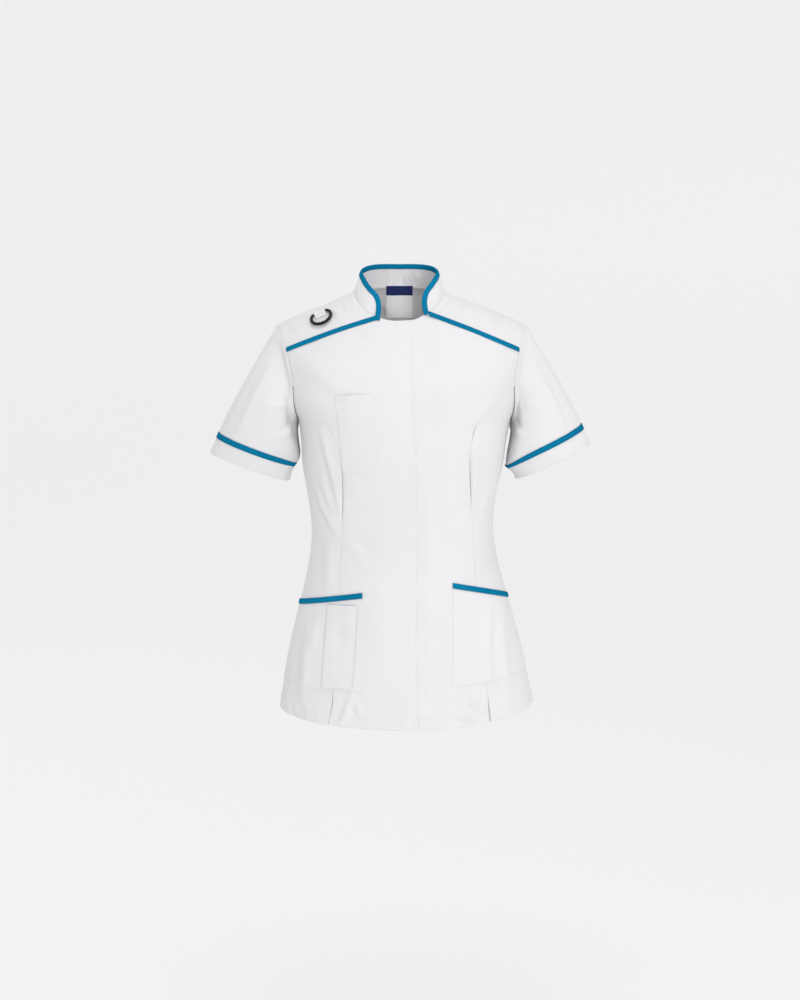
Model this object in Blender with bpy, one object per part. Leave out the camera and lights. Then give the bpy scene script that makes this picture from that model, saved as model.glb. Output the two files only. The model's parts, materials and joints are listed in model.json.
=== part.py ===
"""A women's short-sleeved healthcare tunic, hollow, in the shape it takes when worn.

The front faces -Y and the wearer's right side is at -X. The origin is the middle of
the neck, at the height where the garment rests on the shoulders. Each cut piece is a
closed wall of cloth of its own, a seam's gap away from its neighbours. Side -1 is the
wearer's right and side +1 is the wearer's left.
"""

import math
from collections import namedtuple

import bmesh
import bpy
import numpy as np
from mathutils import Matrix, Vector

RIGHT, LEFT = -1, 1

# Cloth, tape and the gaps between pieces.
CLOTH = 0.0012
TAPE = 0.0010
SEAM = 0.0005
LIE = 0.0007
TAPE_LIE = 0.0004

# Level sections of the body, from the hem to above the shoulders. The half widths above
# the armpit run on past the armholes, where the sleeves are set in.
Section = namedtuple("Section", "height centre half_width front_depth back_depth")
BODY = (
    Section(-0.720, 0.0130, 0.2215, 0.134, 0.133),
    Section(-0.702, 0.0121, 0.2184, 0.132, 0.132),
    Section(-0.613, 0.0095, 0.2009, 0.126, 0.130),
    Section(-0.525, 0.0077, 0.1785, 0.119, 0.124),
    Section(-0.455, 0.0060, 0.1616, 0.113, 0.113),
    Section(-0.412, 0.0045, 0.1545, 0.110, 0.105),
    Section(-0.381, 0.0036, 0.1548, 0.111, 0.101),
    Section(-0.352, 0.0030, 0.1578, 0.115, 0.101),
    Section(-0.321, 0.0035, 0.1628, 0.120, 0.104),
    Section(-0.278, 0.0050, 0.1710, 0.125, 0.111),
    Section(-0.212, 0.0075, 0.1780, 0.124, 0.118),
    Section(-0.195, 0.0073, 0.1860, 0.122, 0.119),
    Section(-0.175, 0.0066, 0.1940, 0.119, 0.119),
    Section(-0.136, 0.0055, 0.2070, 0.111, 0.117),
    Section(-0.095, 0.0045, 0.2320, 0.099, 0.112),
    Section(-0.057, 0.0030, 0.2550, 0.086, 0.106),
    Section(0.000, -0.0010, 0.2800, 0.072, 0.100),
    Section(0.030, -0.0015, 0.2850, 0.066, 0.096),
)
SQUARENESS = 2.4

# The shoulder line, a height below all that lies on the shoulders, and how far below
# the line the front and the back finish rounding over.
Shoulder = namedtuple("Shoulder", "across height")
SHOULDERS = (
    Shoulder(-0.040, 0.0186),
    Shoulder(0.000, 0.0238),
    Shoulder(0.040, 0.0186),
    Shoulder(0.076, 0.0000),
    Shoulder(0.204, -0.0545),
    Shoulder(0.225, -0.0660),
    Shoulder(0.260, -0.0920),
)
SHOULDER_FOOT = -0.105
FRONT_ARCH = 0.110
BACK_ARCH = 0.140

# The armhole, an oval seen from the side. A turn is an angle round it: 0 at the
# shoulder, 90 degrees at the front, 180 at the armpit and -90 at the back.
ARMHOLE_TOP = -0.057
ARMPIT = -0.212
ARMHOLE_FRONT = 0.062
ARMHOLE_BACK = 0.066
SEAM_TURN = 108
YOKE_TURN = 60
SHOULDER_TURN = -12
SEAM_STEPS, CHEST_STEPS, YOKE_STEPS, BACK_STEPS = 5, 3, 5, 11

# The neck opening from above.
NECK_HALF_WIDTH = 0.0755
NECK_FRONT, NECK_FRONT_SQUARENESS = 0.078, 2.5
NECK_BACK, NECK_BACK_SQUARENESS = 0.048, 2.2
SHOULDER_BEHIND_NECK = 0.012
YOKE_START = {RIGHT: -0.0358, LEFT: 0.0445}
COLLAR_END = {RIGHT: -0.0335, LEFT: 0.0395}
YOKE_BOW = {RIGHT: 0.0022, LEFT: 0.0016}

# The hem.
HEM_FRONT, HEM_BACK = -0.716, -0.712
HEM_SIDE = {RIGHT: -0.705, LEFT: -0.695}

# Where the long front seams and the edge of the front opening run, down the front.
FrontLine = namedtuple("FrontLine", "height right_seam front_edge left_seam")
FRONT_LINES = (
    FrontLine(-0.720, -0.1165, 0.0298, 0.1510),
    FrontLine(-0.657, -0.1110, 0.0290, 0.1445),
    FrontLine(-0.570, -0.1050, 0.0282, 0.1340),
    FrontLine(-0.485, -0.1000, 0.0278, 0.1260),
    FrontLine(-0.435, -0.0975, 0.0277, 0.1225),
    FrontLine(-0.369, -0.0945, 0.0276, 0.1190),
    FrontLine(-0.320, -0.0945, 0.0275, 0.1170),
    FrontLine(-0.274, -0.0965, 0.0268, 0.1155),
    FrontLine(-0.246, -0.1025, 0.0248, 0.1160),
    FrontLine(-0.225, -0.1120, 0.0233, 0.1190),
    FrontLine(-0.205, -0.1260, 0.0223, 0.1300),
    FrontLine(-0.185, -0.1450, 0.0221, 0.1510),
    FrontLine(-0.1585, -0.1745, 0.0215, 0.1835),
    FrontLine(-0.048, -0.1850, 0.0175, 0.1920),
)
SEAM_TIP = 0.002
OVERLAP = 0.030
UNDERLAP_FADE = 0.026
VENT_TOP = -0.655
VENT_GAP = {RIGHT: 0.0065, LEFT: 0.0040}

# Sleeves: the middle of each hem, how far its outer end is tipped up, and its half sizes.
Sleeve = namedtuple("Sleeve", "across height tilt half_width half_depth")
SLEEVES = {
    RIGHT: Sleeve(-0.2545, -0.2932, math.radians(20.1), 0.0706, 0.049),
    LEFT: Sleeve(0.2590, -0.2845, math.radians(25.7), 0.0690, 0.049),
}
SLEEVE_FULLNESS = 0.005
UNDERARM_FULLNESS = {RIGHT: 0.0195, LEFT: 0.0270}
UNDERARM_SKEW = {RIGHT: 1.00, LEFT: 1.20}
CUFF = 0.0275
TAPE_WIDTH = 0.009

# The collar.
CollarHeight = namedtuple("CollarHeight", "along height")
COLLAR_HEIGHTS = (
    CollarHeight(-0.078, 0.0370),
    CollarHeight(-0.040, 0.0360),
    CollarHeight(-0.010, 0.0322),
    CollarHeight(0.012, 0.0352),
    CollarHeight(0.028, 0.0392),
    CollarHeight(0.039, 0.0390),
    CollarHeight(0.048, 0.0377),
)
COLLAR_END_HEIGHT = 0.0040
COLLAR_CORNER, COLLAR_CORNER_SQUARENESS = 0.034, 2.8
COLLAR_LEAN_FRONT, COLLAR_LEAN_BACK = math.radians(22), math.radians(9)
COLLAR_CLOTH = 0.0016
BINDING_DEPTH = 0.0076
BINDING_LIE = 0.0010

# Patch pockets, each a four-sided patch: inner and outer edges, top and bottom.
Patch = namedtuple("Patch", "top_inner top_outer bottom_inner bottom_outer")
HIP_POCKETS = {
    RIGHT: Patch((-0.0615, -0.4900), (None, -0.5200), (-0.0615, -0.6550), (None, -0.6540)),
    LEFT: Patch((0.0860, -0.4740), (None, -0.5090), (0.0860, -0.6450), (None, -0.6330)),
}
INSTRUMENT_POCKET = Patch(
    (-0.0690, -0.5120), (-0.1190, -0.5130), (-0.0790, -0.6500), (-0.1300, -0.6500)
)
PEN_POCKET = Patch(
    (-0.0440, -0.1640), (-0.1058, -0.1680), (-0.0323, -0.2925), (-0.0925, -0.2935)
)
POCKET_TAPE = 0.0090
SIDE_ANGLE = 0.04
PIPING = 0.0078

# The D-ring and the keeper that holds its bar, on the wearer's right yoke.
RING_ACROSS, RING_REACH = -0.1315, 0.0350
RING_BAR_HALF = 0.0125
RING_HALF_WIDTH = 0.0170
RING_CENTRE_DROP = 0.0115
RING_BAND = 0.0024
RING_BAR_BAND = 0.0015
RING_LIFT = 0.0029
RING_REST_TILT = math.radians(3.0)
KEEPER_HALF_WIDTH = 0.0096
Fold = namedtuple("Fold", "down lift")
KEEPER_FOLDS = (
    Fold(-0.0090, 0.0005),
    Fold(-0.0055, 0.0006),
    Fold(-0.0034, 0.0021),
    Fold(-0.0021, 0.0037),
    Fold(-0.0010, 0.0047),
    Fold(0.0010, 0.0047),
    Fold(0.0021, 0.0037),
    Fold(0.0034, 0.0021),
    Fold(0.0055, 0.0006),
    Fold(0.0090, 0.0005),
)

# The neck label and the tag under it, inside the back.
LABEL_HALF_WIDTH, LABEL_HEIGHT, TAG_HEIGHT = 0.0215, 0.0125, 0.048
LABEL_CENTRE = -0.0010

WHITE = (0.86, 0.87, 0.89)
BLUE = (0.008, 0.23, 0.46)
NAVY = (0.004, 0.014, 0.11)
BLACK = (0.012, 0.012, 0.014)


class Curve:
    """A smooth curve through values at given places."""

    def __init__(self, places, values):
        self.places = np.array(places)
        self.values = np.array(values)
        self.slopes = np.gradient(self.values, self.places)

    def __call__(self, place):
        place = min(max(place, self.places[0]), self.places[-1])
        i = min(int(np.searchsorted(self.places, place, side="right")) - 1, len(self.places) - 2)
        step = self.places[i + 1] - self.places[i]
        t = (place - self.places[i]) / step
        start = self.values[i] * (1 + 2 * t) + self.slopes[i] * step * t
        end = self.values[i + 1] * (3 - 2 * t) - self.slopes[i + 1] * step * (1 - t)
        return float(start * (1 - t) ** 2 + end * t**2)


def curves(rows):
    """One smooth curve for each column of a table after its first."""
    columns = list(zip(*rows))
    return [Curve(columns[0], column) for column in columns[1:]]


body_centre, body_half, body_front, body_back = curves(BODY)
(shoulder_line,) = curves(SHOULDERS)
(collar_height,) = curves(COLLAR_HEIGHTS)
right_seam, front_edge, left_seam = curves(FRONT_LINES)
front_seam = {RIGHT: right_seam, LEFT: left_seam}


def ease(value, start, end):
    """0 up to start, 1 from end on, smooth between."""
    t = min(max((value - start) / (end - start), 0), 1)
    return t * t * (3 - 2 * t)


def bisect(too_low, low, high):
    """The place between low and high where too_low stops being true."""
    for _ in range(40):
        middle = (low + high) / 2
        if too_low(middle):
            low = middle
        else:
            high = middle
    return (low + high) / 2


# The body's surface.


def depth(across, height, front):
    """How far the front or the back lies from the middle plane at a place."""
    reach = abs(across - body_centre(height))
    share = min(reach / body_half(height), 1)
    full = body_front(height) if front else body_back(height)
    arch = FRONT_ARCH if front else BACK_ARCH
    rise = min(max(1 - (shoulder_line(reach) - height) / arch, 0), 1)
    return full * (1 - share**SQUARENESS) ** (1 / SQUARENESS) * math.sqrt(1 - rise * rise)


def outside(x, y, z):
    """Grows outwards through the body's surface, and is 1 on it."""
    reach = abs(x - body_centre(z))
    share = reach / body_half(z)
    front = y < 0
    out = abs(y) / (body_front(z) if front else body_back(z))
    arch = FRONT_ARCH if front else BACK_ARCH
    rise = max(1 - (shoulder_line(reach) - z) / arch, 0)
    if rise > 0:
        return (out / max(1 - share**SQUARENESS, 1e-6) ** (1 / SQUARENESS)) ** 2 + rise**2
    return share**SQUARENESS + out**SQUARENESS


def outward(point):
    """The direction straight out of the body's surface at a point."""
    step = 2e-5
    slope = Vector()
    for axis in range(3):
        move = Vector()
        move[axis] = step
        slope[axis] = outside(*(point + move)) - outside(*(point - move))
    return slope.normalized()


def on_front(across, height):
    return Vector((across, -depth(across, height, True), height))


def on_back(across, height):
    return Vector((across, depth(across, height, False), height))


def on_top(across, along):
    """The point of the surface above a place in the plan, on or near the shoulders."""
    front = along < 0

    def buried(height):
        return depth(across, height, front) > abs(along)

    height = bisect(buried, SHOULDER_FOOT, shoulder_line(abs(across)) + 0.002)
    return Vector((across, along, height))


def armhole(side, turn):
    """A point on an armhole's seam."""
    angle = math.radians(turn)
    middle, half = (ARMHOLE_TOP + ARMPIT) / 2, (ARMHOLE_TOP - ARMPIT) / 2
    height = middle + half * math.cos(angle)
    front = math.sin(angle) >= 0
    reach = (ARMHOLE_FRONT if front else ARMHOLE_BACK) * abs(math.sin(angle))
    centre = body_centre(height)

    def inside(distance):
        return depth(centre + side * distance, height, front) > reach

    distance = bisect(inside, 0.1, body_half(height))
    return Vector((centre + side * distance, -reach if front else reach, height))


def spaced(start, end, steps):
    return [start + (end - start) * i / steps for i in range(steps + 1)]


SIDE_TURNS = spaced(180, SEAM_TURN, SEAM_STEPS)
CHEST_TURNS = spaced(SEAM_TURN, YOKE_TURN, CHEST_STEPS)
YOKE_TURNS = spaced(YOKE_TURN, SHOULDER_TURN, YOKE_STEPS)
BACK_TURNS = spaced(-180, SHOULDER_TURN, BACK_STEPS)
ARMHOLE_TURNS = SIDE_TURNS + CHEST_TURNS[1:] + YOKE_TURNS[1:] + BACK_TURNS[-2:0:-1]


def neck_reach(reach, front):
    """How far forward or back the neck opening is at a distance from its middle."""
    full = NECK_FRONT if front else NECK_BACK
    power = NECK_FRONT_SQUARENESS if front else NECK_BACK_SQUARENESS
    return full * max(1 - (reach / NECK_HALF_WIDTH) ** power, 0) ** (1 / power)


def neck_front(across):
    reach = abs(across - body_centre(0))
    return on_top(across, -neck_reach(reach, True))


def neck_back(across):
    reach = abs(across - body_centre(0))
    return on_top(across, neck_reach(reach, False))


def neck_side(side):
    """Points round the side of the neck, from the yoke's front to behind the shoulder."""
    centre = body_centre(0)
    reach = abs(YOKE_START[side] - centre) / NECK_HALF_WIDTH
    start = -math.acos(reach ** (NECK_FRONT_SQUARENESS / 2))
    end = math.asin((SHOULDER_BEHIND_NECK / NECK_BACK) ** (NECK_BACK_SQUARENESS / 2))
    points = []
    for angle in spaced(start, end, YOKE_STEPS):
        power = NECK_FRONT_SQUARENESS if angle < 0 else NECK_BACK_SQUARENESS
        full = NECK_FRONT if angle < 0 else NECK_BACK
        across = centre + side * NECK_HALF_WIDTH * math.cos(angle) ** (2 / power)
        along = full * math.copysign(abs(math.sin(angle)) ** (2 / power), angle)
        points.append(on_top(across, along))
    return points


# Grids of points, and walls made of them.


def skin(points):
    """A row of body points, each with its outward direction."""
    return [(point, outward(point)) for point in points]


def trimmed(grid, gap=SEAM / 2, tube=False):
    """The grid drawn in from its edges by half a seam's gap."""
    grid = [list(row) for row in grid]

    def draw_in(edge, next_in):
        (point, normal), (inner, _) = edge, next_in
        return point + (inner - point).normalized() * gap, normal

    grid[0] = [draw_in(a, b) for a, b in zip(grid[0], grid[1])]
    grid[-1] = [draw_in(a, b) for a, b in zip(grid[-1], grid[-2])]
    if not tube:
        for row in grid:
            row[0], row[-1] = draw_in(row[0], row[1]), draw_in(row[-1], row[-2])
    return grid


def finish(name, colour, roughness):
    material = bpy.data.materials.get(name) or bpy.data.materials.new(name)
    material.use_nodes = True
    shader = material.node_tree.nodes["Principled BSDF"]
    shader.inputs["Base Color"].default_value = (*colour, 1)
    shader.inputs["Roughness"].default_value = roughness
    shader.inputs["Metallic"].default_value = 0
    return material


def add_object(name, mesh, colour, roughness=0.85):
    data = bpy.data.meshes.new(name)
    bmesh.ops.recalc_face_normals(mesh, faces=mesh.faces[:])
    if mesh.calc_volume(signed=True) < 0:
        bmesh.ops.reverse_faces(mesh, faces=mesh.faces[:])
    mesh.to_mesh(data)
    mesh.free()
    data.shade_smooth()
    data.set_sharp_from_angle(angle=math.radians(50))
    data.materials.append(finish(f"{name}_finish", colour, roughness))
    part = bpy.data.objects.new(name, data)
    bpy.context.scene.collection.objects.link(part)
    return part


def wall(name, grid, colour, low=-CLOTH, high=0.0, tube=False):
    """A closed wall between two heights above a grid of (point, outward direction)."""
    mesh = bmesh.new()
    direction = mesh.verts.layers.float_vector.new("direction")
    rows = []
    for line in grid:
        row = []
        for point, normal in line:
            vertex = mesh.verts.new(point + normal * high)
            vertex[direction] = normal
            row.append(vertex)
        rows.append(row + row[:1] if tube else row)
    for lower, upper in zip(rows, rows[1:]):
        for i in range(len(lower) - 1):
            mesh.faces.new((lower[i], lower[i + 1], upper[i + 1], upper[i]))
    made = bmesh.ops.extrude_face_region(mesh, geom=mesh.faces[:])
    for piece in made["geom"]:
        if isinstance(piece, bmesh.types.BMVert):
            piece.co -= piece[direction] * (high - low)
    return add_object(name, mesh, colour)


def name_of(base, side):
    return f"{base}_{'right' if side == RIGHT else 'left'}"


# The yokes and the lines that they share with the fronts, the back and the sleeves.


def yoke_foot(side, share):
    """The line between yoke and front, from the neck to the armhole."""
    start, end = neck_front(YOKE_START[side]), armhole(side, YOKE_TURN)
    across = start.x + (end.x - start.x) * share
    height = start.z + (end.z - start.z) * share + YOKE_BOW[side] * math.sin(math.pi * share)
    return on_front(across, height)


YOKE_COLUMNS = 7
YOKE_SHARES = spaced(0, 1, YOKE_COLUMNS)


def yoke_grid(side):
    """Rows from the front of a yoke over the shoulder, columns from neck to armhole."""
    foot = [yoke_foot(side, share) for share in YOKE_SHARES]
    neck = neck_side(side)
    arm = [armhole(side, turn) for turn in YOKE_TURNS]
    head = [neck[-1].lerp(arm[-1], share) for share in YOKE_SHARES]
    grid = []
    for r, up in enumerate(spaced(0, 1, YOKE_STEPS)):
        row = []
        for c, share in enumerate(YOKE_SHARES):
            ruled = foot[c].lerp(head[c], up) + neck[r].lerp(arm[r], share)
            corners = foot[0].lerp(foot[-1], share).lerp(head[0].lerp(head[-1], share), up)
            plan = ruled - corners
            row.append(on_top(plan.x, plan.y))
        grid.append(skin(row))
    return grid


def build_yoke(side):
    wall(name_of("yoke", side), trimmed(yoke_grid(side)), WHITE)


def build_yoke_piping(side):
    """The tape over the seam at the foot of a yoke."""
    shares = [0.03] + YOKE_SHARES[1:-1] + [0.99]
    foot = [yoke_foot(side, share) for share in shares]
    grid = [
        skin([on_front(point.x, point.z + PIPING * rise) for point in foot])
        for rise in (-0.5, 0, 0.5)
    ]
    wall(name_of("yoke_piping", side), grid, BLUE, TAPE_LIE, TAPE_LIE + TAPE)


# The fronts.

NECK_COLUMNS = 3
LOW_ROWS = 13


def hem_height(across, front):
    """The height of the hem at a place across, rising towards the side seams."""
    offset = across - body_centre(HEM_BACK)
    end = HEM_SIDE[RIGHT if offset < 0 else LEFT]
    middle = HEM_FRONT if front else HEM_BACK
    return middle + (end - middle) * min(abs(offset) / body_half(end), 1) ** 2


def vent(side, height):
    """Half the gap of a hem vent at a height."""
    return VENT_GAP[side] / 2 * ease(-height, -VENT_TOP, -HEM_FRONT)


def opening_edge(side, height):
    """The edge of a front at the opening. The left front runs on under the right one."""
    return front_edge(height) - (OVERLAP if side == LEFT else 0)


def front_top(side):
    """The top edge of a front: along the neck to the yoke, then under it."""
    inner = opening_edge(side, -0.048)
    neck = [neck_front(x) for x in spaced(inner, YOKE_START[side], NECK_COLUMNS)]
    return neck + [yoke_foot(side, share) for share in YOKE_SHARES[1:]]


def front_grid(side):
    """Rows from the hem up, columns from the opening to the long seam or the armhole."""
    top = front_top(side)
    edge_top, arm_top = top[0].x, top[-1].x
    shares = [(point.x - edge_top) / (arm_top - edge_top) for point in top]

    def across_at(height, outer, share):
        edge = opening_edge(side, height)
        return edge + (outer - edge) * share

    grid = []
    for up in spaced(0, 1, LOW_ROWS):
        row = []
        for share in shares:
            height = HEM_FRONT + (ARMPIT - HEM_FRONT) * up
            for _ in range(3):
                seam = front_seam[side](height) - side * vent(side, height)
                across = across_at(height, seam, share)
                hem = hem_height(across, True)
                height = hem + (ARMPIT - hem) * up
            row.append(on_front(across, height))
        grid.append(skin(row))
    tip = armhole(side, SEAM_TURN)
    for turn in SIDE_TURNS[1:]:
        height = armhole(side, turn).z
        seam = tip.x - side * SEAM_TIP if turn == SEAM_TURN else front_seam[side](height)
        grid.append(skin([on_front(across_at(height, seam, share), height) for share in shares]))
    for turn in CHEST_TURNS[1:]:
        arm = armhole(side, turn)
        up = (arm.z - tip.z) / (top[-1].z - tip.z)
        row = []
        for share, head in zip(shares, top):
            height = tip.z + (head.z - tip.z) * up
            row.append(on_front(across_at(height, arm.x, share), height))
        row[-1] = arm
        grid.append(skin(top if turn == YOKE_TURN else row))
    return grid


def under_lap(grid):
    """The left front, sunk under the right one near the opening."""
    sunk = CLOTH + SEAM
    lapped = []
    for row in grid:
        line = []
        for point, normal in row:
            past = point.x - front_edge(point.z)
            fall = sunk * (1 - ease(past, UNDERLAP_FADE, 2 * UNDERLAP_FADE))
            line.append((point - normal * fall, normal))
        lapped.append(line)
    return lapped


def build_front(side):
    grid = front_grid(side)
    if side == LEFT:
        grid = under_lap(grid)
    wall(name_of("front", side), trimmed(grid), WHITE)


def body_ring(side, height, share, start_angle, end_angle):
    """Distance across at a share of the way round from one angle to another."""
    angle = start_angle + (end_angle - start_angle) * share
    return body_centre(height) + side * body_half(height) * math.cos(angle) ** (2 / SQUARENESS)


def ring_angle(side, across, height):
    """The angle round a level section, from the side seam, of a place across."""
    share = min(max(side * (across - body_centre(height)) / body_half(height), 0), 1)
    return math.acos(share ** (SQUARENESS / 2))


SIDE_COLUMNS = 7


def side_front_grid(side):
    """Rows from the hem up to the armhole, columns from the side seam to the front seam."""
    shares = spaced(0, 1, SIDE_COLUMNS)
    grid = []
    for up in spaced(0, 1, LOW_ROWS):
        row = []
        for share in shares:
            height = HEM_FRONT + (ARMPIT - HEM_FRONT) * up
            for _ in range(3):
                seam = front_seam[side](height) + side * vent(side, height)
                across = body_ring(side, height, share, 0, ring_angle(side, seam, height))
                hem = hem_height(across, True)
                height = hem + (ARMPIT - hem) * up
            row.append(on_front(across, height))
        grid.append(skin(row))
    for turn in SIDE_TURNS[1:]:
        arm = armhole(side, turn)
        seam = front_seam[side](arm.z)
        if turn == SEAM_TURN:
            seam = arm.x - side * SEAM_TIP
        start, end = ring_angle(side, arm.x, arm.z), ring_angle(side, seam, arm.z)
        across = [body_ring(side, arm.z, share, start, end) for share in shares]
        grid.append(skin([arm] + [on_front(x, arm.z) for x in across[1:]]))
    return grid


def build_side_front(side):
    wall(name_of("side_front", side), trimmed(side_front_grid(side)), WHITE)


# The back.

SHOULDER_COLUMNS = 6
NAPE_COLUMNS = 8


def back_top():
    """The back's top edge from armhole to armhole: shoulder, neck and shoulder."""
    ends = {}
    for side in (RIGHT, LEFT):
        neck, arm = neck_side(side)[-1], armhole(side, SHOULDER_TURN)
        plan = [arm.lerp(neck, share) for share in spaced(0, 1, SHOULDER_COLUMNS)]
        ends[side] = [arm] + [on_top(p.x, p.y) for p in plan[1:-1]] + [neck]
    first, last = ends[RIGHT][-1], ends[LEFT][-1]
    start = math.acos(min(abs(first.x - body_centre(0)) / NECK_HALF_WIDTH, 1))
    nape = []
    for angle in spaced(start, math.pi - start, NAPE_COLUMNS)[1:-1]:
        nape.append(neck_back(body_centre(0) - NECK_HALF_WIDTH * math.cos(angle)))
    return ends[RIGHT] + nape + ends[LEFT][::-1]


def back_grid():
    """Rows from the hem up, columns from the wearer's right to the left."""
    top = back_top()
    arm_angle, shares = {}, []
    for side in (RIGHT, LEFT):
        arm = armhole(side, SHOULDER_TURN)
        arm_angle[side] = ring_angle(side, arm.x, arm.z)
    for point in top:
        side = RIGHT if point.x < body_centre(point.z) else LEFT
        arm = armhole(side, SHOULDER_TURN)
        share = (point.x - body_centre(point.z)) / (arm.x - body_centre(arm.z))
        turn = math.cos(arm_angle[side]) * min(max(share, 0), 1) ** (SQUARENESS / 2)
        across = (math.acos(turn) - arm_angle[side]) / (math.pi / 2 - arm_angle[side])
        shares.append((side, across))
    grid = []
    for up in spaced(0, 1, LOW_ROWS):
        row = []
        for side, share in shares:
            height = HEM_BACK + (ARMPIT - HEM_BACK) * up
            for _ in range(3):
                across = body_ring(side, height, share, 0, math.pi / 2)
                hem = hem_height(across, False)
                height = hem + (ARMPIT - hem) * up
            row.append(on_back(across, height))
        grid.append(skin(row))
    for turn in BACK_TURNS[1:]:
        row = []
        for (side, share), head in zip(shares, top):
            arm = armhole(side, turn)
            start = ring_angle(side, arm.x, arm.z)
            up = (arm.z - ARMPIT) / (armhole(side, SHOULDER_TURN).z - ARMPIT)
            height = ARMPIT + (head.z - ARMPIT) * up
            angle = start + (math.pi / 2 - start) * share
            part = (math.cos(angle) / math.cos(start)) ** (2 / SQUARENESS)
            reach = abs(arm.x - body_centre(arm.z))
            across = body_centre(height) + side * reach * part
            row.append(on_back(across, height))
        row[0], row[-1] = armhole(RIGHT, turn), armhole(LEFT, turn)
        grid.append(skin(top if turn == SHOULDER_TURN else row))
    return grid


def build_back():
    wall("back", trimmed(back_grid()), WHITE)


# The sleeves, their tapes and their cuffs.

SLEEVE_STEPS = spaced(0, 1, 6) + [2, 2.33, 2.67, 3]
UNDER_OFFSET = 0.0008
HEAD_OFFSET = 0.0013


def cuff_point(side, turn):
    """A point on the sleeve's hem."""
    cut, angle = SLEEVES[side], math.radians(turn)
    out = Vector((side * math.cos(cut.tilt), 0, math.sin(cut.tilt)))
    middle = Vector((cut.across, 0, cut.height))
    forward = Vector((0, -cut.half_depth * math.sin(angle), 0))
    return middle + out * cut.half_width * math.cos(angle) + forward


def sleeve_line(side, turn):
    """Start and end of the line down a sleeve at a turn, clear of the armhole's edge."""
    start, end = armhole(side, turn), cuff_point(side, turn)
    under = ease(abs(turn), 110, 175)
    start = start + outward(start) * UNDER_OFFSET * under
    return start + (end - start).normalized() * HEAD_OFFSET * (1 - under), end


def sleeve_point(side, turn, share):
    """A point of a sleeve at a turn, at a share of the way down."""
    start, end = sleeve_line(side, turn)
    axis_top = (armhole(side, 0) + armhole(side, 180)) / 2
    cut = SLEEVES[side]
    axis = axis_top.lerp(Vector((cut.across, 0, cut.height)), share)
    point = start.lerp(end, share)
    away = (point - axis).normalized()
    under = ease(abs(turn), 100, 180)
    full = SLEEVE_FULLNESS * math.sin(math.pi * share)
    under_full = UNDERARM_FULLNESS[side] * math.sin(math.pi * share ** UNDERARM_SKEW[side]) ** 2
    bulge = full + (under_full - full) * under
    return point + away * bulge


def tube_skin(rows):
    """The rows of a tube, each point with its direction away from the tube's middle line."""
    grid = []
    count = len(rows[0])
    for r, row in enumerate(rows):
        above, below = rows[max(r - 1, 0)], rows[min(r + 1, len(rows) - 1)]
        middle = sum(row, Vector()) / count
        line = []
        for i, point in enumerate(row):
            around = row[(i + 1) % count] - row[i - 1]
            normal = around.cross(below[i] - above[i]).normalized()
            if normal.dot(point - middle) < 0:
                normal = -normal
            line.append((point, normal))
        grid.append(line)
    return grid


def sleeve_skin(side):
    """The whole sleeve's skin, with a row at each edge of its tape."""
    rows = []
    for step in SLEEVE_STEPS:
        row = []
        for turn in ARMHOLE_TURNS:
            start, end = sleeve_line(side, turn)
            length = (end - start).length
            seams = (0, 1 - (CUFF + TAPE_WIDTH) / length, 1 - CUFF / length, 1)
            part = min(int(step), 2)
            share = seams[part] + (seams[part + 1] - seams[part]) * (step - part)
            row.append(sleeve_point(side, turn, share))
        rows.append(row)
    return tube_skin(rows)


def build_sleeve(side):
    rows = sleeve_skin(side)
    tape, cuff = SLEEVE_STEPS.index(1), SLEEVE_STEPS.index(2)
    wall(name_of("sleeve", side), trimmed(rows[: tape + 1], tube=True), WHITE, tube=True)
    band = trimmed(rows[tape : cuff + 1], tube=True)
    wall(name_of("sleeve_tape", side), band, BLUE, -CLOTH, TAPE_LIE, tube=True)
    wall(name_of("cuff", side), trimmed(rows[cuff:], tube=True), WHITE, tube=True)


# The collar and its binding.


# Extra points in the first two stretches of the neck seam at either end.
END_CUTS = {0: (0, 0.25, 0.6), 1: (0, 0.15, 0.4, 0.7)}


def neck_ring():
    """Points round the neck seam, from the collar's right end behind to its left end."""
    right, left = [[neck_front(COLLAR_END[side])] + neck_side(side) for side in (RIGHT, LEFT)]
    nape = back_top()[SHOULDER_COLUMNS + 1 : SHOULDER_COLUMNS + NAPE_COLUMNS]
    ring = right + nape + left[::-1]
    points = []
    for i, (first, second) in enumerate(zip(ring, ring[1:])):
        cuts = END_CUTS.get(min(i, len(ring) - 2 - i), (0,))
        if i > len(ring) / 2:
            cuts = [0] + [1 - cut for cut in cuts[:0:-1]]
        points += [first.lerp(second, cut) for cut in cuts]
    return points + [ring[-1]]


CollarLine = namedtuple("CollarLine", "foot up normal height")


def collar_lines():
    """For each point of the neck seam, the collar's direction up, out and its height."""
    ring = neck_ring()
    runs = [0.0]
    for first, second in zip(ring, ring[1:]):
        runs.append(runs[-1] + (second - first).length)
    lines = []
    for i, foot in enumerate(ring):
        along = (ring[min(i + 1, len(ring) - 1)] - ring[max(i - 1, 0)]).normalized()
        inward = Vector((body_centre(0) - foot.x, -0.012 - foot.y, 0)).normalized()
        back = ease(foot.y, -0.01, NECK_BACK)
        lean = COLLAR_LEAN_FRONT + (COLLAR_LEAN_BACK - COLLAR_LEAN_FRONT) * back
        up = Vector((0, 0, math.cos(lean))) + inward * math.sin(lean)
        normal = up.cross(along).normalized()
        if normal.dot(inward) > 0:
            normal = -normal
        full = collar_height(foot.y)
        run = min(runs[i], runs[-1] - runs[i])
        short = max(1 - run / COLLAR_CORNER, 0) ** COLLAR_CORNER_SQUARENESS
        rounded = (1 - short) ** (1 / COLLAR_CORNER_SQUARENESS)
        height = COLLAR_END_HEIGHT + (full - COLLAR_END_HEIGHT) * rounded
        lines.append(CollarLine(foot + Vector((0, 0, SEAM)), up, normal, height))
    return lines


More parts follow.
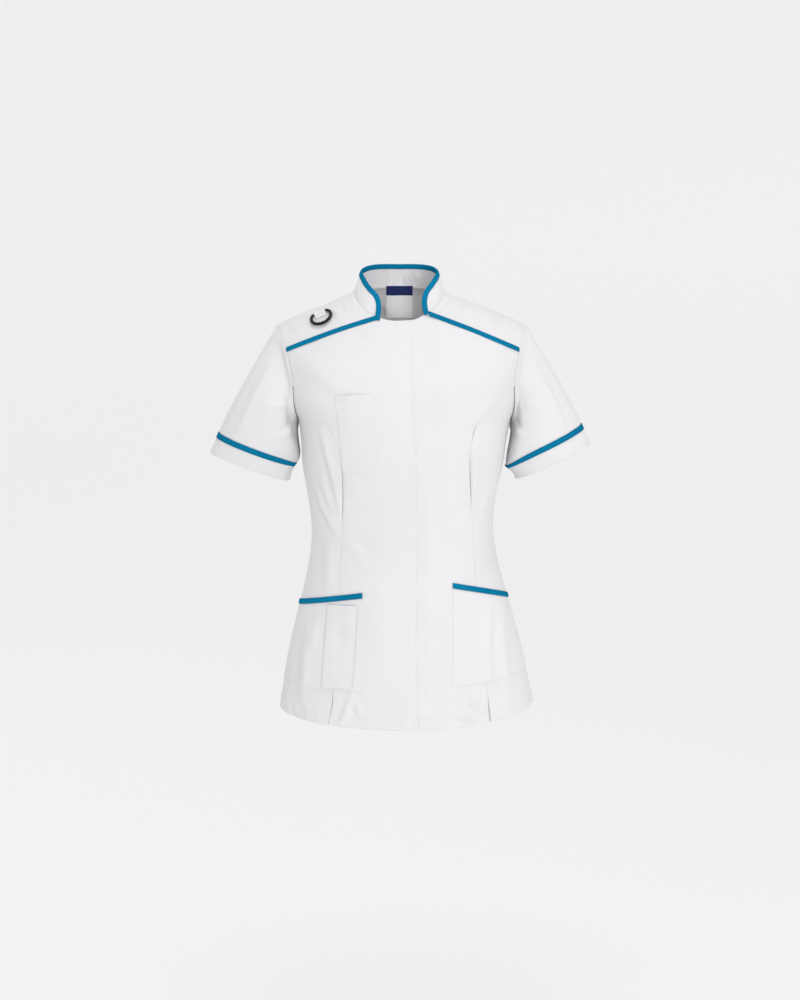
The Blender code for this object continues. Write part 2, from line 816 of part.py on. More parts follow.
def build_collar():
    lines = collar_lines()
    grid = []
    for share in spaced(0, 1, 3):
        grid.append([(line.foot + line.up * line.height * share, line.normal) for line in lines])
    wall("collar", grid, WHITE, -COLLAR_CLOTH, 0)


def build_binding():
    """A folded tape over the collar's top edge and both of its front ends."""
    lines = collar_lines()
    middle = COLLAR_CLOTH / 2
    edge = [line.foot + line.up * line.height - line.normal * middle for line in lines]
    inside_half = middle + BINDING_LIE
    outside_half = inside_half + TAPE
    profile = (
        (outside_half, BINDING_DEPTH),
        (outside_half, -BINDING_LIE),
        (outside_half * 0.55, -BINDING_LIE - TAPE),
        (-outside_half * 0.55, -BINDING_LIE - TAPE),
        (-outside_half, -BINDING_LIE),
        (-outside_half, BINDING_DEPTH),
        (-inside_half, BINDING_DEPTH),
        (-inside_half, -BINDING_LIE),
        (inside_half, -BINDING_LIE),
        (inside_half, BINDING_DEPTH),
    )
    mesh = bmesh.new()
    rings = []
    for i, line in enumerate(lines):
        along = (edge[min(i + 1, len(edge) - 1)] - edge[max(i - 1, 0)]).normalized()
        normal = (line.normal - along * line.normal.dot(along)).normalized()
        inner = along.cross(normal)
        if inner.dot(line.up) > 0:
            inner = -inner
        rings.append([mesh.verts.new(edge[i] + normal * out + inner * down) for out, down in profile])
    count = len(profile)
    for first, second in zip(rings, rings[1:]):
        for i in range(count):
            j = (i + 1) % count
            mesh.faces.new((first[i], first[j], second[j], second[i]))
    mesh.faces.new(rings[0])
    mesh.faces.new(rings[-1][::-1])
    add_object("collar_binding", mesh, BLUE)


# Pockets.


def patch_grid(patch, side, columns, rows, top_cut=0.0, bottom_cut=None):
    """Rows from the foot of a patch up, columns from its inner to its outer edge.

    An outer edge with no place across is the side seam. The cuts are distances down from
    the patch's top, and no bottom cut means its foot.
    """

    def angle(top, bottom, part, height):
        if top[0] is None:
            return SIDE_ANGLE
        return ring_angle(side, bottom[0] + (top[0] - bottom[0]) * part, height)

    grid = []
    for up in spaced(0, 1, rows):
        row = []
        for share in spaced(0, 1, columns):
            top = patch.top_inner[1] + (patch.top_outer[1] - patch.top_inner[1]) * share
            foot = patch.bottom_inner[1] + (patch.bottom_outer[1] - patch.bottom_inner[1]) * share
            high = top - top_cut
            low = foot if bottom_cut is None else top - bottom_cut
            height = low + (high - low) * up
            part = (height - foot) / (top - foot)
            inner = angle(patch.top_inner, patch.bottom_inner, part, height)
            outer = angle(patch.top_outer, patch.bottom_outer, part, height)
            across = body_ring(side, height, share, inner, outer)
            row.append(on_front(across, height))
        grid.append(skin(row))
    return grid


def build_hip_pocket(side):
    patch = HIP_POCKETS[side]
    pocket = patch_grid(patch, side, 12, 6, top_cut=POCKET_TAPE + SEAM)
    wall(name_of("hip_pocket", side), pocket, WHITE, LIE, LIE + CLOTH)
    tape = patch_grid(patch, side, 12, 1, bottom_cut=POCKET_TAPE)
    wall(name_of("pocket_tape", side), tape, BLUE, LIE, LIE + CLOTH + TAPE_LIE)


def build_instrument_pocket():
    low = 2 * LIE + CLOTH
    grid = patch_grid(INSTRUMENT_POCKET, RIGHT, 4, 6)
    wall("instrument_pocket", grid, WHITE, low, low + CLOTH)


def build_pen_pocket():
    grid = patch_grid(PEN_POCKET, RIGHT, 5, 6)
    wall("pen_pocket", grid, WHITE, LIE, LIE + CLOTH)


# The D-ring and its keeper.


def ring_frame():
    """The hinge's middle, its axis, the direction down the yoke and the way out."""
    foot = on_top(RING_ACROSS, -RING_REACH)
    out = outward(foot)
    beside = on_top(RING_ACROSS - 0.01, -RING_REACH) - on_top(RING_ACROSS + 0.01, -RING_REACH)
    axis = (beside - out * beside.dot(out)).normalized()
    down = axis.cross(out).normalized()
    if down.z > 0:
        down = -down
    return foot, axis, down, out


def build_keeper():
    """A narrow strip sewn down above and below the ring's bar, which it bridges."""
    foot, axis, down, _ = ring_frame()
    grid = []
    for fold in KEEPER_FOLDS:
        row = []
        for across in spaced(-KEEPER_HALF_WIDTH, KEEPER_HALF_WIDTH, 2):
            place = foot + axis * across + down * fold.down
            point = on_top(place.x, place.y)
            normal = outward(point)
            row.append((point + normal * fold.lift, normal))
        grid.append(row)
    wall("ring_keeper", grid, WHITE, 0, TAPE)


def ring_path():
    """The middle line of the ring in its own plane, x along the bar and y down from it."""
    drop = RING_CENTRE_DROP
    half_height = drop / math.sqrt(1 - (RING_BAR_HALF / RING_HALF_WIDTH) ** 2)
    start = math.acos(RING_BAR_HALF / RING_HALF_WIDTH)
    points = []
    for angle in spaced(-start, math.pi + start, 22):
        x = RING_HALF_WIDTH * math.cos(angle)
        y = drop + half_height * math.sin(angle)
        points.append((x, y, RING_BAND))
    return points + [(-RING_BAR_HALF * part, 0, RING_BAR_BAND) for part in (0.8, 0, -0.8)]


def build_ring():
    """The ring, hinged on its bar, which is its own X axis; its Y axis points down the yoke."""
    foot, axis, down, out = ring_frame()
    path = ring_path()
    mesh = bmesh.new()
    rings = []
    for i, (x, y, band) in enumerate(path):
        before, after = path[i - 1], path[(i + 1) % len(path)]
        along = Vector((after[0] - before[0], after[1] - before[1], 0)).normalized()
        flat = Vector((along.y, -along.x, 0))
        ring = []
        for step in range(8):
            angle = 2 * math.pi * (step + 0.5) / 8
            offset = flat * math.cos(angle) + Vector((0, 0, math.sin(angle)))
            ring.append(mesh.verts.new(Vector((x, y, 0)) + offset * band))
        rings.append(ring)
    for first, second in zip(rings, rings[1:] + rings[:1]):
        for i in range(8):
            j = (i + 1) % 8
            mesh.faces.new((first[i], first[j], second[j], second[i]))
    ring = add_object("d_ring", mesh, BLACK, 0.35)
    reach = down * math.cos(RING_REST_TILT) - out * math.sin(RING_REST_TILT)
    turn = Matrix((axis, reach, axis.cross(reach))).transposed()
    ring.matrix_world = Matrix.Translation(foot + out * RING_LIFT) @ turn.to_4x4()


# The label.


def label_grid(top_gap, height, rows):
    """Points on the inner face of the back, below the neck seam."""
    grid = []
    for down in spaced(top_gap + height, top_gap, rows):
        row = []
        for across in spaced(-LABEL_HALF_WIDTH, LABEL_HALF_WIDTH, 3):
            head = neck_back(LABEL_CENTRE + across)
            row.append(on_back(head.x, head.z - down * 0.82))
        grid.append([(point, -normal) for point, normal in skin(row)])
    return grid


def build_label():
    low = CLOTH + 2 * LIE
    label = label_grid(0.001, LABEL_HEIGHT, 2)
    wall("neck_label", label, NAVY, low, low + TAPE)
    tag = label_grid(0.001 + LABEL_HEIGHT + 0.001, TAG_HEIGHT, 4)
    wall("neck_tag", tag, WHITE, low, low + TAPE)


def main():
    for thing in list(bpy.data.objects):
        bpy.data.objects.remove(thing, do_unlink=True)
    build_back()
    for side in (RIGHT, LEFT):
        build_front(side)
        build_side_front(side)
        build_yoke(side)
        build_yoke_piping(side)
        build_sleeve(side)
        build_hip_pocket(side)
    build_collar()
    build_binding()
    build_instrument_pocket()
    build_pen_pocket()
    build_keeper()
    build_ring()
    build_label()


main()
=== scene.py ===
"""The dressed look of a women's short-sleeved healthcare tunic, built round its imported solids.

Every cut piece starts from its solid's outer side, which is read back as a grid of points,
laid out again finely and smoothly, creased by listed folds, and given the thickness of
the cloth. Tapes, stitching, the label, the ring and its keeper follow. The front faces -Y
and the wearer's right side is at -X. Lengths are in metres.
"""

import json
import math
from collections import namedtuple

import bmesh
import bpy
import numpy as np
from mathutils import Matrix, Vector


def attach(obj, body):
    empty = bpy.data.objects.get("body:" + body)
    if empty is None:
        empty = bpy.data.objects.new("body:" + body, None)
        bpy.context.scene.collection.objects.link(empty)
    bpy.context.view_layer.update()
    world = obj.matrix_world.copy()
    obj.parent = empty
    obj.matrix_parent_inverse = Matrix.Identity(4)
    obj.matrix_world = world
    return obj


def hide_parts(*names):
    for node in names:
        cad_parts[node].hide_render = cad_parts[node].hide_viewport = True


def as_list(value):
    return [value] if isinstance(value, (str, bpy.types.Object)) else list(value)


bl_info = {
    "name": "Healthcare tunic",
    "version": (1, 0, 0),
    "blender": (4, 5, 0),
    "location": "View3D > Sidebar > Tunic",
    "description": "Builds a filled-out healthcare tunic, its trim and a plain studio",
    "category": "Object",
}

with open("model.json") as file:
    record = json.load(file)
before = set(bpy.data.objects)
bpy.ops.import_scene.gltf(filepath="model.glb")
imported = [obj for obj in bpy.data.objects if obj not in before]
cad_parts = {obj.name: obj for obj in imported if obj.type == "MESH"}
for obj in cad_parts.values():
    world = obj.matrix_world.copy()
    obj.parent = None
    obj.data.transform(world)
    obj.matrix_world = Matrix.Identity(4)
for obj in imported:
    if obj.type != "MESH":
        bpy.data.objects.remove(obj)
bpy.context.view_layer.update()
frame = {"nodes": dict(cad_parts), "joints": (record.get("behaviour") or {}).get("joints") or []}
GARMENT = "garment"
SIDES = ("right", "left")
UV = "Cloth"

# Neighbouring faces belong to one side of a wall when their directions agree this well.
WALL_LIKENESS = 0.45
TUBE_LIKENESS = 0.60

# How far a piece's edge reaches out to close the seam, and the thickness of its cloth.
SEAM_FIT = 0.0003
COLLAR_THICKNESS = 0.0014
TAPE_THICKNESS = 0.0006
PATCH_THICKNESS = 0.0005
LABEL_THICKNESS = 0.0004

# The narrowest cloth that counts as a sheet. What is narrower is sewn trim.
NARROWEST_SHEET = 0.0101


# Reading a wall's outer side back as a grid of points.


def merged(name):
    """The named solid's mesh, with its loose triangles joined up."""
    mesh = bmesh.new()
    mesh.from_mesh(frame["nodes"][name].data)
    bmesh.ops.remove_doubles(mesh, verts=mesh.verts[:], dist=2e-6)
    mesh.normal_update()
    return mesh


def smooth_regions(mesh, likeness):
    """Groups of faces that meet at no sharp edge, the largest first."""
    seen, regions = set(), []
    for start in mesh.faces:
        if start in seen:
            continue
        seen.add(start)
        region, stack = [], [start]
        while stack:
            face = stack.pop()
            region.append(face)
            for edge in face.edges:
                for other in edge.link_faces:
                    if other not in seen and face.normal.dot(other.normal) > likeness:
                        seen.add(other)
                        stack.append(other)
        regions.append(region)
    return sorted(regions, key=lambda region: -sum(face.calc_area() for face in region))


def outer_skin(mesh, tube, inner):
    """The faces of a wall's outer side, or of its inner one."""
    first, second = smooth_regions(mesh, TUBE_LIKENESS if tube else WALL_LIKENESS)[:2]
    middle = Vector()
    if tube:
        middle = sum((vertex.co for vertex in mesh.verts), Vector()) / len(mesh.verts)

    def outwards(region):
        total = 0
        for face in region:
            away = face.calc_center_median() - middle
            if not tube:
                away.z = 0
            total += face.calc_area() * face.normal.dot(away)
        return total

    return first if (outwards(first) > outwards(second)) != inner else second


def squareness(corners):
    """How far a four-sided face is from square corners; 0 is a rectangle."""
    total = 0
    for i in range(4):
        before = (corners[i - 1] - corners[i]).normalized()
        after = (corners[(i + 1) % 4] - corners[i]).normalized()
        total += abs(before.dot(after))
    return total


def as_quads(faces):
    """The skin's triangles in pairs, as four vertices each, turning left seen from outside."""
    inside = set(faces)
    beside = {face: set() for face in faces}
    for face in faces:
        for edge in face.edges:
            near = (other for other in edge.link_faces if other in inside and other is not face)
            beside[face].update(near)

    def quad(face, other):
        shared = [vertex for vertex in face.verts if vertex in other.verts]
        loop = list(face.verts)
        while loop[0] not in shared or loop[1] not in shared:
            loop = loop[1:] + loop[:1]
        far = next(vertex for vertex in other.verts if vertex not in shared)
        return loop[0], far, loop[1], loop[2]

    def best_pair(waiting):
        options = [(face, other) for face in waiting if len(beside[face]) < 3 for other in beside[face]]
        return min(options, key=lambda pair: squareness([vertex.co for vertex in quad(*pair)]))

    quads, waiting = [], set(faces)
    ready = [face for face in faces if len(beside[face]) == 1]
    while waiting:
        while ready and ready[-1] not in waiting:
            ready.pop()
        if ready:
            face = ready.pop()
            other = next(iter(beside[face]))
        else:
            face, other = best_pair(waiting)
        quads.append(quad(face, other))
        for done in (face, other):
            waiting.discard(done)
            for near in beside[done]:
                beside[near].discard(done)
                if near in waiting and len(beside[near]) == 1:
                    ready.append(near)
    return quads


def read_grid(name, tube=False, foot="z", inner=False, long=False):
    """Rows of points from the foot of a solid's outer side up, each running right seen from outside."""
    mesh = merged(name)
    quads = as_quads(outer_skin(mesh, tube, inner))
    at_edge, uses = {}, {}
    for corners in quads:
        for i in range(4):
            at_edge[corners[i], corners[(i + 1) % 4]] = corners
            uses[corners[i]] = uses.get(corners[i], 0) + 1
    onward = {a: b for a, b in at_edge if (b, a) not in at_edge}
    axis = "xyz".index(foot)

    def walk(start, stop):
        line = [start, onward[start]]
        while not stop(line[-1]):
            line.append(onward[line[-1]])
        return line

    def level(line):
        return sum(vertex.co[axis] for vertex in line) / len(line)

    if tube:
        loops, left = [], set(onward)
        while left:
            start = min(left, key=lambda vertex: abs(vertex.co.x))
            loops.append(walk(start, lambda vertex: vertex is start))
            left -= set(loops[-1])
        row = min(loops, key=level)
    else:
        corners = [vertex for vertex in onward if uses[vertex] == 1]
        sides = [walk(corner, lambda vertex: uses[vertex] == 1) for corner in corners]
        if long:
            sides = sorted(sides, key=len)[2:]
        row = min(sides, key=level)
    rows = [row]
    while (rows[-1][0], rows[-1][1]) in at_edge:
        above = []
        for a, b in zip(rows[-1], rows[-1][1:]):
            corners = at_edge[a, b]
            i = corners.index(a)
            if not above:
                above.append(corners[(i + 3) % 4])
            above.append(corners[(i + 2) % 4])
        rows.append(above)
    grid = np.array([[vertex.co[:] for vertex in line] for line in rows])
    mesh.free()
    return grid


# Laying a grid out again finely.


def hermite(knots, values, places):
    """Values on a smooth curve through given values."""
    slopes = np.gradient(values, knots, axis=0)
    i = np.clip(np.searchsorted(knots, places, side="right") - 1, 0, len(knots) - 2)
    step = (knots[i + 1] - knots[i])[:, None]
    t = ((places - knots[i]) / (knots[i + 1] - knots[i]))[:, None]
    flat = values.reshape(len(values), -1)
    slope = slopes.reshape(len(values), -1)
    out = flat[i] * (1 + 2 * t) * (1 - t) ** 2 + slope[i] * step * t * (1 - t) ** 2
    out += flat[i + 1] * t**2 * (3 - 2 * t) - slope[i + 1] * step * t**2 * (1 - t)
    return out.reshape((len(places),) + values.shape[1:])


def lengths(grid):
    """Mean distance along the rows of a grid to each of its columns."""
    steps = np.linalg.norm(np.diff(grid, axis=1), axis=2).mean(0)
    return np.concatenate([[0], np.cumsum(steps)])


class Panel:
    """A finely laid-out piece of cloth: points, outward directions and distances along it."""

    def __init__(self, grid, cell, tube=False, fit=0.0, end_fit=None):
        self.tube = tube
        across, up = lengths(grid), lengths(grid.transpose(1, 0, 2))
        self.width, self.height = across[-1], up[-1]
        count = max(round(self.width / cell), 4)
        rows = max(round(self.height / cell), 2)
        self.u = np.linspace(0, self.width, count + 1)
        self.v = np.linspace(0, self.height, rows + 1)
        # Points gather at the edges, where the seams roll.
        if tube:
            ring = grid[:, :-1]
            padded = np.concatenate([ring[:, -3:], ring, ring[:, :3]], axis=1)
            steps = np.diff(across)
            before = -np.cumsum(steps[-1:-4:-1])[::-1]
            after = self.width + np.cumsum(np.concatenate([[0], steps[:2]]))
            knots = np.concatenate([before, across[:-1], after])
            self.u = self.u[:-1]
            flat = hermite(knots, padded.transpose(1, 0, 2), self.u).transpose(1, 0, 2)
        else:
            self.u = self.gather(self.u, self.width)
            flat = hermite(across, grid.transpose(1, 0, 2), self.u).transpose(1, 0, 2)
        self.v = self.gather(self.v, self.height)
        points = hermite(up, flat, self.v)
        low_fit, high_fit = end_fit or (fit, fit)
        points[0] += self.unit(points[0] - points[1]) * low_fit
        points[-1] += self.unit(points[-1] - points[-2]) * high_fit
        if not tube:
            points[:, 0] += self.unit(points[:, 0] - points[:, 1]) * fit
            points[:, -1] += self.unit(points[:, -1] - points[:, -2]) * fit
        self.base = points
        self.points = points.copy()
        self.normals = self.directions(points)

    @classmethod
    def laid(cls, points, u, v):
        """A panel whose points are already finely laid out."""
        panel = cls.__new__(cls)
        panel.tube = False
        panel.base, panel.points = points, points.copy()
        panel.u, panel.width = u, u[-1]
        panel.v, panel.height = v, v[-1]
        panel.normals = panel.directions(points)
        return panel

    @staticmethod
    def gather(places, length):
        """Two more places close to either end."""
        near = [0.0007, 0.0018]
        inner = places[(places > 0.0028) & (places < length - 0.0028)]
        if length < 0.012:
            return places
        return np.concatenate([[0], near, inner, [length - d for d in near[::-1]], [length]])

    @staticmethod
    def unit(vectors):
        return vectors / np.maximum(np.linalg.norm(vectors, axis=-1, keepdims=True), 1e-12)

    def directions(self, points):
        """The outward direction at each point."""
        if self.tube:
            around = np.roll(points, -1, 1) - np.roll(points, 1, 1)
        else:
            around = np.gradient(points, axis=1)
        return self.unit(np.cross(around, np.gradient(points, axis=0)))

    def raise_by(self, heights):
        self.points = self.points + self.normals * heights[..., None]

    def turn_in(self, edges, depth=0.0045):
        """Adds the seam allowance along the given edges, turned to the inside."""
        normals = self.directions(self.points)
        drops = np.array([depth, 0.0012])
        for edge in edges:
            down = edge in ("low", "high")
            points, turned = self.points, normals
            if not down:
                points, turned = points.transpose(1, 0, 2), turned.transpose(1, 0, 2)
            first = edge in ("low", "left")
            end = 0 if first else -1
            rows = points[end][None] - turned[end][None] * drops[:, None, None]
            edge_normals = np.repeat(turned[end][None], 2, 0)
            places = self.v if down else self.u
            if first:
                points = np.concatenate([rows, points])
                turned = np.concatenate([edge_normals, turned])
                places = np.concatenate([places[0] - drops, places])
            else:
                points = np.concatenate([points, rows[::-1]])
                turned = np.concatenate([turned, edge_normals])
                places = np.concatenate([places, places[-1] + drops[::-1]])
            if down:
                self.points, normals, self.v = points, turned, places
            else:
                self.points, normals = points.transpose(1, 0, 2), turned.transpose(1, 0, 2)
                self.u = places

    def places(self):
        """Distance of each point along and up the panel."""
        return np.meshgrid(self.u, self.v)

    def edge_distances(self):
        """Distance of each point from the left, right, lower and upper edges."""
        u, v = self.places()
        return u, self.width - u, v, self.height - v

    def at(self, u, v):
        """Places and outward directions at distances along and up the panel."""
        u, v = np.broadcast_arrays(np.asarray(u, float), np.asarray(v, float))
        normals = self.directions(self.points)
        us, points = self.u, self.points
        if self.tube:
            u = np.mod(u, self.width)
            us = np.append(us, self.width)
            points = np.concatenate([points, points[:, :1]], axis=1)
            normals = np.concatenate([normals, normals[:, :1]], axis=1)
        i = np.clip(np.searchsorted(us, u, side="right") - 1, 0, len(us) - 2)
        j = np.clip(np.searchsorted(self.v, v, side="right") - 1, 0, len(self.v) - 2)
        s = ((u - us[i]) / (us[i + 1] - us[i]))[..., None]
        t = ((v - self.v[j]) / (self.v[j + 1] - self.v[j]))[..., None]

        def mix(values):
            low = values[j, i] * (1 - s) + values[j, i + 1] * s
            high = values[j + 1, i] * (1 - s) + values[j + 1, i + 1] * s
            return low * (1 - t) + high * t

        return mix(points), self.unit(mix(normals))

    def area(self):
        grid = self.base
        if self.tube:
            grid = np.concatenate([grid, grid[:, :1]], axis=1)
        one = np.cross(grid[:-1, 1:] - grid[:-1, :-1], grid[1:, 1:] - grid[:-1, :-1])
        two = np.cross(grid[1:, 1:] - grid[:-1, :-1], grid[1:, :-1] - grid[:-1, :-1])
        return float((np.linalg.norm(one, axis=2) + np.linalg.norm(two, axis=2)).sum() / 2)


PANELS = {}


def sheet_object(name, panel, material, thickness, slot, body=GARMENT, node=None):
    """The panel as a mesh of its own, with the cloth's thickness laid inwards."""
    rows, columns = panel.points.shape[:2]
    wrap = columns if panel.tube else columns - 1
    numbers = np.arange(rows * columns).reshape(rows, columns)
    right = np.roll(numbers, -1, 1) if panel.tube else numbers[:, 1:]
    left = numbers if panel.tube else numbers[:, :-1]
    faces = np.stack([left[:-1], right[:-1], right[1:], left[1:]], axis=-1).reshape(-1, 4)
    data = bpy.data.meshes.new(name)
    data.from_pydata(panel.points.reshape(-1, 3).tolist(), [], faces.tolist())
    layer = data.uv_layers.new(name=UV)
    u = np.append(panel.u, panel.width) if panel.tube else panel.u
    corner_u = np.stack([u[:wrap], u[1 : wrap + 1], u[1 : wrap + 1], u[:wrap]], axis=-1)
    corner_v = np.stack([panel.v[:-1], panel.v[:-1], panel.v[1:], panel.v[1:]], axis=-1)
    places = np.zeros((rows - 1, wrap, 4, 2))
    places[..., 0], places[..., 1] = corner_u[None], corner_v[:, None]
    layer.data.foreach_set("uv", places.astype(np.float32).ravel())
    data.shade_smooth()
    data.materials.append(material)
    thing = bpy.data.objects.new(name, data)
    bpy.context.scene.collection.objects.link(thing)
    wall = thing.modifiers.new("Thickness", "SOLIDIFY")
    wall.thickness = thickness
    wall.offset = -1
    wall.use_even_offset = False
    PANELS[name] = panel
    return settle(thing, slot, body, node)


def settle(thing, slot, body=GARMENT, node=None):
    """The piece rides its body and stands for its solid, which is hidden. The slot is not used."""
    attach(thing, body)
    if node:
        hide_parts(node)
    return thing


def declare(panel, rests_on):
    """Measures the cloth that the piece was cut from, unless it is narrow trim; the sizes are not kept.
    """
    flat = panel.base
    width = np.linalg.norm(np.diff(flat, axis=1), axis=2).sum(1).max()
    if panel.tube:
        ring = np.concatenate([flat, flat[:, :1]], axis=1)
        width = np.linalg.norm(np.diff(ring, axis=1), axis=2).sum(1).max()
    height = np.linalg.norm(np.diff(flat, axis=0), axis=2).sum(0).max()
    if min(width, height) < NARROWEST_SHEET:
        return
    area = min(panel.area(), width * height)
    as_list(rests_on)


# Creases. Each runs through places on the front or back, given across and up.

Crease = namedtuple("Crease", "width height path")


def ease(value, start, end):
    t = np.clip((value - start) / (end - start), 0, 1)
    return t * t * (3 - 2 * t)


def crease_height(crease, x, z):
    """The height of a crease at places across and up. Its sides fall away unevenly."""
    path = np.array(crease.path)
    best = np.full(x.shape, 1e9)
    side = np.zeros(x.shape)
    along = np.zeros(x.shape)
    total = np.linalg.norm(np.diff(path, axis=0), axis=1).sum()
    run = 0.0
    for (ax, az), (bx, bz) in zip(path, path[1:]):
        dx, dz = bx - ax, bz - az
        length = math.hypot(dx, dz)
        t = np.clip(((x - ax) * dx + (z - az) * dz) / length**2, 0, 1)
        ox, oz = x - ax - dx * t, z - az - dz * t
        away = np.hypot(ox, oz)
        nearer = away < best
        best = np.where(nearer, away, best)
        side = np.where(nearer, (ox * dz - oz * dx) / length, side)
        along = np.where(nearer, (run + t * length) / total, along)
        run += length
    near = best / crease.width
    trough = (side / crease.width - 1.5) ** 2 + np.maximum(best**2 - side**2, 0) / crease.width**2
    fade = np.sin(np.pi * np.clip(along, 0.0, 1.0)) ** 0.7
    return crease.height * (np.exp(-(near**2)) - 0.55 * np.exp(-trough)) * fade


def crease_field(creases, x, z):
    total = np.zeros(x.shape)
    for crease in creases:
        total += crease_height(crease, x, z)
    return total


def ripple(places, seed, wave):
    """An uneven wave along a line, from -1 to 1."""
    total = np.zeros(np.shape(places))
    for k, share in enumerate((0.5, 0.3, 0.2)):
        step = wave / (1 + 0.83 * k)
        total = total + share * np.sin(2 * np.pi * places / step + seed * (1.7 + k) + 1.3 * k)
    return total


def seam_roll(distance, along, seed, depth=0.00035, pucker=0.0002):
    """The dip of the cloth into a seam, with the small puckers that the thread pulls."""
    dip = -depth * np.exp(-distance / 0.0016)
    pull = pucker * ripple(along, seed, 0.013) * np.exp(-distance / 0.006)
    return dip + pull


FRONT_CREASES = (
    # Along the long seam on the wearer's right, and the drag lines from it to the waist.
    Crease(0.0050, 0.0024, ((-0.130, -0.222), (-0.116, -0.275), (-0.103, -0.330), (-0.095, -0.372))),
    Crease(0.0060, 0.0026, ((-0.141, -0.318), (-0.128, -0.350), (-0.113, -0.380), (-0.100, -0.398))),
    Crease(0.0050, 0.0018, ((-0.130, -0.305), (-0.117, -0.340), (-0.104, -0.372))),
    Crease(0.0090, 0.0016, ((-0.118, -0.405), (-0.117, -0.450), (-0.120, -0.505))),
    # Along the long seam on the wearer's left.
    Crease(0.0045, 0.0020, ((0.126, -0.240), (0.1225, -0.290), (0.1215, -0.340))),
    Crease(0.0080, 0.0014, ((0.128, -0.350), (0.124, -0.400), (0.126, -0.470))),
    Crease(0.0070, 0.0014, ((0.150, -0.318), (0.140, -0.350), (0.131, -0.385))),
    Crease(0.0030, 0.0018, ((0.163, -0.4525), (0.153, -0.4500), (0.143, -0.4565))),
    Crease(0.0060, 0.0012, ((0.092, -0.4640), (0.106, -0.4630), (0.120, -0.4590))),
    # Below the pockets, towards the vents.
    Crease(0.0060, 0.0030, ((-0.080, -0.655), (-0.084, -0.675), (-0.094, -0.700), (-0.103, -0.713))),
    Crease(0.0050, 0.0020, ((-0.077, -0.660), (-0.070, -0.680), (-0.064, -0.700))),
    Crease(0.0055, 0.0026, ((0.140, -0.655), (0.137, -0.675), (0.130, -0.695), (0.120, -0.705))),
    Crease(0.0055, 0.0018, ((0.112, -0.652), (0.120, -0.670), (0.133, -0.686))),
    Crease(0.0045, 0.0020, ((0.096, -0.693), (0.113, -0.697), (0.128, -0.694))),
    # Ripples above the hem beside the vent.
    Crease(0.0035, 0.0015, ((-0.193, -0.670), (-0.190, -0.688), (-0.188, -0.703))),
    Crease(0.0035, 0.0013, ((-0.178, -0.682), (-0.175, -0.697), (-0.172, -0.708))),
    Crease(0.0035, 0.0014, ((-0.160, -0.680), (-0.155, -0.697), (-0.152, -0.711))),
    Crease(0.0035, 0.0012, ((-0.143, -0.690), (-0.138, -0.703), (-0.136, -0.714))),
    # Long soft folds down the hip pockets.
    Crease(0.0085, 0.0026, ((-0.150, -0.540), (-0.157, -0.590), (-0.162, -0.650), (-0.166, -0.690))),
    Crease(0.0060, 0.0016, ((-0.137, -0.530), (-0.143, -0.565), (-0.149, -0.600))),
    Crease(0.0085, 0.0026, ((0.172, -0.520), (0.170, -0.570), (0.176, -0.630), (0.182, -0.690))),
    Crease(0.0070, 0.0020, ((0.152, -0.520), (0.147, -0.570), (0.149, -0.620), (0.152, -0.670))),
    # Soft pulls over the chest and from the shoulders.
    Crease(0.0120, 0.0012, ((-0.150, -0.120), (-0.110, -0.150), (-0.070, -0.165))),
    Crease(0.0140, 0.0012, ((0.150, -0.115), (0.110, -0.145), (0.060, -0.160))),
    Crease(0.0120, 0.0012, ((0.162, -0.170), (0.135, -0.200), (0.100, -0.215))),
    Crease(0.0080, 0.0014, ((0.060, -0.470), (0.080, -0.430), (0.112, -0.395))),
    Crease(0.0080, 0.0012, ((-0.050, -0.455), (-0.072, -0.420), (-0.098, -0.400))),
    Crease(0.0060, 0.0010, ((-0.060, -0.060), (-0.050, -0.075), (-0.030, -0.085))),
    Crease(0.0060, 0.0010, ((0.060, -0.058), (0.056, -0.075), (0.040, -0.090))),
)

Bulge = namedtuple("Bulge", "x z half_width half_height height")
FRONT_BULGES = (
    Bulge(0.046, -0.365, 0.008, 0.022, 0.0012),
    Bulge(0.048, -0.405, 0.010, 0.026, 0.0013),
    Bulge(0.045, -0.445, 0.011, 0.016, 0.0014),
    Bulge(0.044, -0.520, 0.009, 0.030, 0.0014),
    Bulge(0.047, -0.585, 0.010, 0.026, 0.0014),
    Bulge(0.044, -0.640, 0.009, 0.020, 0.0013),
    Bulge(0.043, -0.690, 0.010, 0.014, 0.0012),
    Bulge(0.017, -0.492, 0.006, 0.006, 0.0010),
    Bulge(0.016, -0.570, 0.006, 0.006, 0.0010),
    Bulge(0.020, -0.270, 0.007, 0.007, 0.0008),
    Bulge(0.038, -0.368, 0.006, 0.007, 0.0009),
    Bulge(-0.100, -0.565, 0.014, 0.014, -0.0020),
    Bulge(-0.040, -0.540, 0.024, 0.060, 0.0012),
    Bulge(0.075, -0.560, 0.020, 0.050, 0.0012),
)

